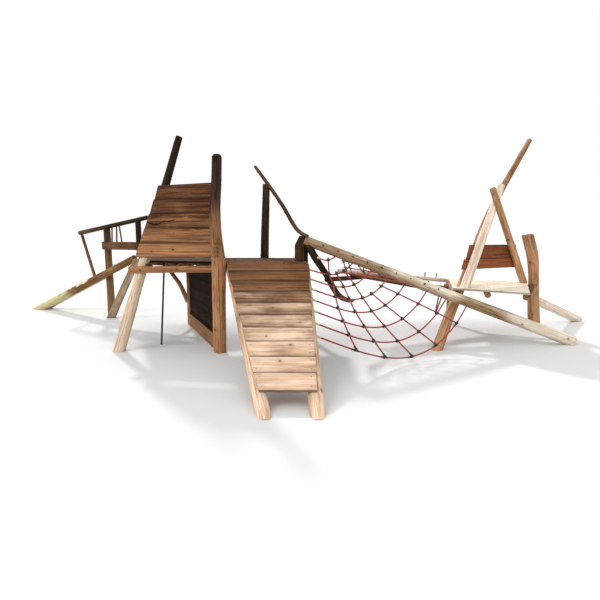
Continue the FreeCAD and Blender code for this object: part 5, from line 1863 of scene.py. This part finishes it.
@dataclass
class TallTower(Assembly):
    """The tall tower: posts, wall, rail, deck, side boards, brace and pole."""

    post: Timber = Timber(((-664, -50, 0, 175), (-660, -50, 700, 182), (-653, -50, 1275, 184), (-678, -50, 1600, 156),
                           (-686, -50, 1927, 150), (-656, -50, 2285, 138), (-640, -50, 2640, 128)))
    back_post: Timber = Timber.straight((-1540, 1950, 0), (-1540, 1950, 1150), 125, 115)
    brace: Timber = Timber(((-1600, 1990, 400, 84), (-1740, 2060, 690, 78), (-1930, 2070, 980, 76),
                            (-2015, 2110, 1150, 70)))
    pole: Timber = Timber.straight((-1610, 400, 0), (-1530, 440, DECK_HEIGHT - BOARD_THICK), 28, 28)
    joists: tuple[Timber, ...] = (
        level((tower_edge(62), 62), (tower_edge(2118), 2118), JOIST_Z), level((-1204, 125), (-2138, 2350), JOIST_Z),
        level((-1664, 185), (-2620, 2600), JOIST_Z), level((-1500, 2030), (-2800, 2675), 1085, 110))
    outline: Pairs = (
        (tower_edge(78) - 3, 78), (-1800, 330), (-2710, 2650), (tower_edge(2050) - 3, 2050))
    wall_width: float = 196.0
    board_gap: float = 4.0
    wall_start: float = 1294.0
    wall_looks: Pairs = (  # shade and tone from the lowest board up
        (0.02, 1.05), (0.26, 1.02), (0.5, 1.0), (0.74, 0.95), (0.78, 0.95))
    side_boards: int = 6
    side_top: float = 1088.0
    side_near: tuple[float, float] = (-684, 12)
    side_far: tuple[float, float] = (-1540, 1930)

    def wall(self) -> None:
        """Make the front wall: boards behind the right post and in front of the left one."""
        lean = LEANING_POST.head - LEANING_POST.foot
        marks_here = {0: dict(knots=(Knot(8, 700, 17), Knot(-20, 1010, 10))),
                      2: dict(cracks=(Crack(-30, 850, 1160, 13.0, 16.0), Crack(4, 650, 820, 8.0, 7.0))),
                      3: dict(knots=(Knot(20, 420, 12), Knot(-30, 960, 9)))}
        depth = BOARD_THICK / 2 - HOUSING
        for k, (shade, tone) in enumerate(self.wall_looks):
            z = self.wall_start + self.wall_width / 2 + k * (self.wall_width + self.board_gap)
            right, dia = self.post.station(2, z)
            left, radius = LEANING_POST.reached(2, z)
            over = 18 + 7.5 * (len(self.wall_looks) - 1 - k)
            board = plank((right[0] + 0.45 * dia / 2, right[1] + dia / 2 + depth, z),
                          (left[0] - radius - over, left[1] - radius - depth, z), self.wall_width + 6.0, BOARD_THICK,
                          Wood.WALL, end_skew=-(lean[0] / lean[2] + 0.14) * self.wall_width / 2, shade=shade,
                          tone=tone, corner=6.0, stain=0.45, **marks_here.get(k, {}))
            self.board("tower_wall_board_%d" % (k + 1), board, "tower_wall_boards")

    def deck_look(self, k: int) -> tuple[float, float]:
        """Shade and tone of a deck board, which are seen from below: all drawn dark as painted shade."""
        return 0.95, 0.4 + 0.05 * math.sin(2.3 * k)

    def floor(self) -> None:
        """Make the joists, the deck and a pair of screws wherever a board lies on a joist."""
        for k, joist in enumerate(self.joists):
            self.log("tower_joist_%d" % (k + 1), joist, LogFinish(Wood.DARK_LOG, (0.45, 0.6)), "tower_joists", step=40)
        boards = self.deck("tower_deck_board", self.outline, DECK_HEIGHT, (-1100, 270), "tower_deck_boards", Wood.RAMP,
                           self.deck_look)
        spots = []
        for board in boards:
            low, high = board.reach()
            for joist in self.joists[:3]:
                along = float((joist.at(joist.share_at(1, float(board.origin[1]))) - board.origin) @ board.along)
                if low + 15 < along < high - 15:
                    spots += board.screw_pair(along)
        self.screws("tower_deck_screws", spots)

    def side(self) -> None:
        """Make the boards under the deck's edge, and the kicking board inside them."""
        pitch = self.side_top / self.side_boards
        for k in range(self.side_boards):
            z = pitch * (k + 0.5) - (0.5 * self.board_gap if k else 0)
            # painted shade: all but the lowest board are drawn near-black, as their inside face lies in shade
            board = plank((*self.side_near, z), (*self.side_far, z), pitch - self.board_gap, 25, Wood.SIDE,
                          shade=0.55 if k == 0 else 0.85 + 0.05 * (k % 3), corner=3.0)
            self.board("tower_side_board_%d" % (k + 1), board, "tower_side_boards")
        near, far = vec(*self.side_near, 110), vec(*self.side_far, 110)
        way = unit(far - near)
        inside = vec(way[1], -way[0], 0) * -27.8
        kick = plank(near + way * 60 + inside, far - way * 60 + inside, 220, 30, Wood.SIDE, shade=0.12, tone=1.05,
                     corner=4.0)
        self.board("tower_kicking_board", kick, "tower_side_boards")

    def steel_pole(self) -> None:
        """Make the painted tube on its foot plate, with a faint sine of unevenness."""
        profile = [(22, 0), (22, 4), (14, 5)] + [
            (14 + 0.15 * math.sin(k), mix(5, self.pole.length, k / 12)) for k in range(1, 13)]
        shape = Shape()
        lathe(shape, self.pole.foot, self.pole.run, profile, 28)
        self.place("steel_pole_tube", shape, Hard.POLE, "steel_pole")

    def build(self) -> None:
        """Make the posts, the wall, the rail, the floor, the back legs, the brace, the side and the pole."""
        post = LogFinish(Wood.POST, (0.3, 0.12, 0.05, 0.3, 0.62, 0.9, 1.0), crown=30.0, foot_cuts=(GROUND,),
                         knots=(Knot(330, 330, 13), Knot(250, 1390, 8), Knot(300, 1900, 10), Knot(120, 900, 12)))
        self.log("tower_post_right_log", self.post, post, "tower_post_right")
        lean = LogFinish(Wood.LEANING, (0.02, 0.0, 0.05, 0.12, 0.5, 0.8, 0.85, 0.97, 1.0), foot_cuts=(GROUND,))
        self.log("tower_post_left_log", LEANING_POST, lean, "tower_post_left")
        self.wall()
        rail = plank((-655, 50, 1142), (-1960, 200, 1117), 95, 40, Wood.WALL, shade=0.1, tone=1.05, corner=5.0)
        self.board("tower_front_rail_board", rail, "tower_front_rail")
        self.floor()
        self.board("tower_back_leg_timber", squared((-3260, 2580, 0, 140), (-2520, 2100, 1170, 112), Wood.BEAM, 0.7),
                   "tower_back_leg")
        self.log("tower_back_post", self.back_post, LogFinish(Wood.TAN_LOG, (0.4, 0.7)), "back_legs", step=40)
        self.log("tower_brace_log", self.brace, LogFinish(Wood.POST, (0.2, 0.5), knot_pitch=220, rough=1.6),
                 "tower_brace")
        self.side()
        self.steel_pole()


@dataclass
class LowTower(Assembly):
    """The low tower on the right: legs, crossing logs, deck, back boards and the log that slopes away."""

    light_log: Timber = Timber.straight((2857, 470, LOW_DECK_HEIGHT), (3458, 820, 2340), 138, 104)
    crossing_log: Timber = Timber.straight((4085, 1200, LOW_DECK_HEIGHT), (3228, 570, 2259), 112, 92)
    bowed_post: Timber = Timber(((4420, 1400, 0, 190), (4354, 1380, 570, 178), (4323, 1350, 876, 168),
                                 (4258, 1320, 1259, 174), (4143, 1300, 1600, 182)))
    back_leg: Timber = Timber.straight((3150, 1946, 0), (3150, 1946, 690), 120, 110)
    sloping_log: Timber = Timber.straight((4300, 1498, 571), (5690, 2250, 10), 150, 146)
    outline: Pairs = ((2694, 487), (3533, -94), (4182, 1282), (3127, 2014))
    edge_joist: Pairs = ((3600, 93), (4300, 1345))

    def board_behind(self, z: float, over: tuple[float, float], skew: tuple[float, float], width: float,
                     shade: float) -> Board:
        """A board fixed across the backs of the two front logs.

        Args:
            z: the height of its middle.
            over: how far it runs on past each log.
            skew: how far each end slants.
            width: its width.
            shade: its shade.

        Returns:
            The board.
        """
        spots = [timber.reached(2, z) for timber in (self.light_log, self.crossing_log)]
        way = unit(spots[1][0] - spots[0][0])
        back = vec(-way[1], way[0], 0)
        start, end = [point + back * (radius + 14 - HOUSING) for point, radius in spots]
        run = unit(end - start)
        return plank(start - run * over[0], end + run * over[1], width, 28, Wood.BACK, start_skew=skew[0],
                     end_skew=skew[1], shade=shade, corner=4.0, stain=0.35)

    def deck_look(self, k: int) -> tuple[float, float]:
        """Shade and tone of a deck board."""
        return 0.1 + 0.06 * (k % 3), 1.0 + 0.03 * math.sin(1.7 * k)

    def posts(self) -> None:
        """Make the long leg, the two crossing logs and the bowed post."""
        tan = Wood.TAN_LOG
        leg = LogFinish(tan, (0.3, 0.24, 0.4, 0.5, 0.55, 0.5), foot_cuts=(GROUND,), knot_pitch=380)
        self.log("platform_long_leg_log", LONG_LEG, leg, "platform_long_leg")
        deck = (Plane(vec(0, 0, LOW_DECK_HEIGHT), UP),)
        # under: painted shade on the light log's underside
        self.log("platform_light_log_timber", self.light_log,
                 LogFinish(Wood.PALE_LOG, (0.1, 0.1, 0.12), under=0.45, foot_cuts=deck), "platform_light_log")
        self.log("platform_crossing_log_timber", self.crossing_log, LogFinish(tan, (0.1, 0.2, 0.35), foot_cuts=deck),
                 "platform_crossing_log")
        bowed = LogFinish(tan, (0.45, 0.3, 0.2, 0.3, 0.55), foot_cuts=(GROUND,), rough=1.4,
                          knots=(Knot(440, 1180, 17), Knot(380, 720, 14), Knot(470, 300, 12), Knot(350, 1420, 12),
                                 Knot(120, 900, 14)))
        self.log("platform_curved_post_log", self.bowed_post, bowed, "platform_curved_post")

    def floor(self) -> None:
        """Make the joists, the back leg, the deck and three pairs of screws in each board."""
        for k, joist in enumerate(LOW_JOISTS):
            self.log("platform_joist_%d" % (k + 1), joist, LogFinish(Wood.TAN_LOG, (0.4, 0.5)), "platform_joists",
                     step=40)
        ends = [(*place, LOW_JOIST_Z) for place in self.edge_joist]
        self.board("platform_joist_squared", plank(*ends, 90, 110, Wood.TAN_LOG, shade=0.4, corner=6.0),
                   "platform_joists")
        self.log("platform_back_leg", self.back_leg, LogFinish(Wood.TAN_LOG, (0.3, 0.5)), "back_legs", step=40)
        boards = self.deck("platform_deck_board", self.outline, LOW_DECK_HEIGHT, (839, -581), "platform_deck_boards",
                           Wood.DECK, self.deck_look)
        spots = []
        for board in boards:
            low, high = board.reach()
            for place in (low + 60, (low + high) / 2, high - 60):
                spots += board.screw_pair(place)
        self.screws("platform_deck_screws", spots)

    def build(self) -> None:
        """Make the posts, the floor, the back boards and the log that slopes away."""
        self.posts()
        self.floor()
        node = "platform_back_boards"
        lower = self.board_behind(1168, (125, 150), (22, -24), 151, 0.0)
        upper = self.board_behind(1347.5, (112, 140), (30, -30), 210, 0.42)
        self.board("platform_back_board_lower", lower, node)
        self.board("platform_back_board_upper", upper, node)
        log_end = (Plane(self.sloping_log.head, -self.sloping_log.run), GROUND)
        self.log("far_right_log_timber", self.sloping_log,
                 LogFinish(Wood.PALE_LOG, (0.15, 0.05, 0.1), head_cuts=log_end), "far_right_log")


@dataclass
class BalanceRail(Assembly):
    """The balance logs on the left, with the post, rails and slats beside them."""

    back_log: Timber = Timber.straight((-5330, 3800, -70), (-3490, 3110, 800), 130, 108)
    post: Timber = Timber.straight((-3440, 3050, 0), (-3440, 3050, 1760), 152, 128)
    newel: Timber = Timber.straight((-2640, 2580, DECK_HEIGHT), (-2640, 2580, 1885), 112, 104)
    top_rail: Timber = Timber.straight((-4205, 3500, 1642), (-2418, 2450, 1922), 88, 82)
    strut: Timber = Timber.straight((-3730, 3038, 730), (-4160, 3473, 1640), 64, 58)
    board_height: float = 1390.0
    slats: Pairs = ((190, 0), (330, 0), (520, -120))  # place along, and lean

    def build(self) -> None:
        """Make the two sloping logs, the rail's posts and logs, its board, slats and strut."""
        dark, ground = Wood.DARK_LOG, (GROUND,)
        for name, timber, work, node in (
                ("balance_log_front", BALANCE_FRONT,
                 LogFinish(Wood.BALANCE, (0.0, 0.0, 0.2, 0.9, 0.75, 0.8, 1.0), foot_cuts=ground, bare=(0.38, 0.7)),
                 "balance_logs"),
                ("balance_log_back", self.back_log,
                 LogFinish(Wood.PALE_LOG, (0.05, 0.1, 0.3, 0.3), foot_cuts=ground), "balance_logs"),
                ("rail_post_log", self.post, LogFinish(dark, (0.0, 0.1, 0.5, 0.8), foot_cuts=ground), "rail_posts"),
                ("rail_newel_log", self.newel, LogFinish(dark, (0.8, 0.9)), "rail_posts")):
            self.log(name, timber, work, node)
        self.log("rail_top_log_timber", self.top_rail, LogFinish(dark, (0.5, 0.75, 0.9)), "rail_top_log", sides=32)
        way = unit((self.newel.foot - self.post.foot) * vec(1, 1, 0))
        front = vec(way[1], -way[0], 0)
        middle, radius = self.post.reached(2, self.board_height)
        start = middle + front * (radius + 7) - way * 70
        end = self.newel.at(0.2) + front * (self.newel.dia(0.2) / 2 + 7) + way * 55
        start[2] = end[2] = self.board_height
        self.board("rail_lower_board_timber", plank(start, end, 155, 30, Wood.SIDE, shade=0.5), "rail_lower_board")
        for k, (along, lean) in enumerate(self.slats):
            foot = start + way * (70 + along) - front * 27 + vec(0, 0, -60)
            top = self.top_rail.reached(0, float(foot[0] + way[0] * lean))[0]
            self.log("rail_slat_%d" % (k + 1), Timber.straight(foot, top, 30, 28), LogFinish(dark, (0.5, 0.7)),
                     "rail_slats", sides=20)
        self.log("rail_strut", self.strut, LogFinish(dark, (0.2, 0.5)), "rail_slats", sides=28)


@dataclass
class Fixings(Assembly):
    """The through bolts between one group and the next."""

    rail_height: float = 1118.0
    leg_height: float = 730.0
    post_place: tuple[float, float] = (-3440, 3050)
    post_radius: float = 66.0

    def build(self) -> None:
        """Make the bolts through the leaning post, the long leg and the front balance log."""
        spot, radius = LEANING_POST.reached(2, self.rail_height)
        bolts = [Bolt(vec(spot[0] + 10, mix(50, 200, 0.885) - 20, spot[2]),
                      vec(spot[0] + 10, spot[1] + radius - 4, spot[2]))]
        leg, joist = LONG_LEG.station(2, self.leg_height)[0], LOW_JOISTS[0].at(0.075)
        way = unit(joist - leg)
        bolts.append(Bolt(leg - way * 66, joist + way * (JOIST_DIA / 2 - 24)))
        spot, radius = BALANCE_FRONT.reached(0, self.post_place[0] + 4)
        post = vec(*self.post_place, spot[2])
        way = unit(post - spot)
        bolts.append(Bolt(spot - way * (radius - 4), post + way * self.post_radius))
        for k, bolt in enumerate(bolts):
            self.bolt("frame_bolt_%d" % (k + 1), bolt, "timber_bolts")


# ---- floor, light and camera
@dataclass(frozen=True)
class Stage:
    """A plain pale floor, soft light from all round with two lamps, and the viewer's eye."""

    floor_half: float = 60.0
    eye: tuple[float, float, float] = (440, -6100, 1600)  # level with a standing adult
    tilt: float = 8.22  # degrees that the eye looks down
    lens: float = 27.0
    lamps: tuple[tuple[str, float, float, tuple[float, float, float]], ...] = (
        ("key", 1.8, 4, (0.27, -0.75, -0.6)), ("fill", 1.0, 30, (0.62, 0.45, -0.64)))

    def camera(self) -> None:
        """Put up the camera."""
        camera = bpy.data.cameras.new("camera")
        camera.lens, camera.sensor_width, camera.clip_end = self.lens, 36.0, 200.0
        holder = bpy.data.objects.new("camera", camera)
        holder.location = to_row(vec(*self.eye))
        holder.rotation_euler = (math.radians(90 - self.tilt), 0, 0)
        bpy.context.scene.collection.objects.link(holder)
        bpy.context.scene.camera = holder

    def floor(self) -> None:
        """Lay the floor: a square around the frame."""
        size = self.floor_half
        mesh = bpy.data.meshes.new("floor")
        mesh.from_pydata([(-size, -size, 0), (size, -size, 0), (size, size, 0), (-size, size, 0)], [], [(0, 1, 2, 3)])
        g = Graph("floor_pale")
        place = g.out(g.node("TexCoord"), "Object")
        colour = g.mix(g.noise(place, 0.6, 2.0), rgb("D8D8D8"), rgb("D6D6D6"))
        mesh.materials.append(g.finish(colour, 0.9, g.bump(g.noise(place, 40.0), 0.05, 0.001)))
        floor = bpy.data.objects.new("floor", mesh)
        bpy.context.scene.collection.objects.link(floor)

    def lights(self) -> None:
        """Light the world evenly and hang the lamps: a high key light from behind on the left, and a fill."""
        world = bpy.data.worlds.new("studio")
        world.use_nodes = True
        background = world.node_tree.nodes["Background"].inputs
        background[0].default_value, background[1].default_value = (1, 1, 1, 1), 1.0
        bpy.context.scene.world = world
        for name, strength, spread, way in self.lamps:
            lamp = bpy.data.lights.new(name, "SUN")
            lamp.energy = strength
            lamp.angle = math.radians(spread)
            holder = bpy.data.objects.new(name, lamp)
            holder.rotation_euler = Vector(way).to_track_quat("-Z", "Y").to_euler()
            bpy.context.scene.collection.objects.link(holder)


def main() -> None:
    """Make every group of pieces and the stage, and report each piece."""
    logging.basicConfig(level=logging.INFO, format="%(name)s: %(message)s")
    bpy.context.scene.view_settings.view_transform = "Standard"
    stage = Stage()
    stage.camera()
    for group in (CargoNet(), Bridge(), NearBeam(), Ramp(), Landing(), TallTower(), LowTower(), BalanceRail(),
                  Fixings()):
        group.build()
        for piece in group.pieces:
            log.info("%s: %s, %d faces", type(group).__name__, piece.name, len(piece.data.polygons))
    stage.floor()
    stage.lights()


if __name__ == "__main__":
    main()
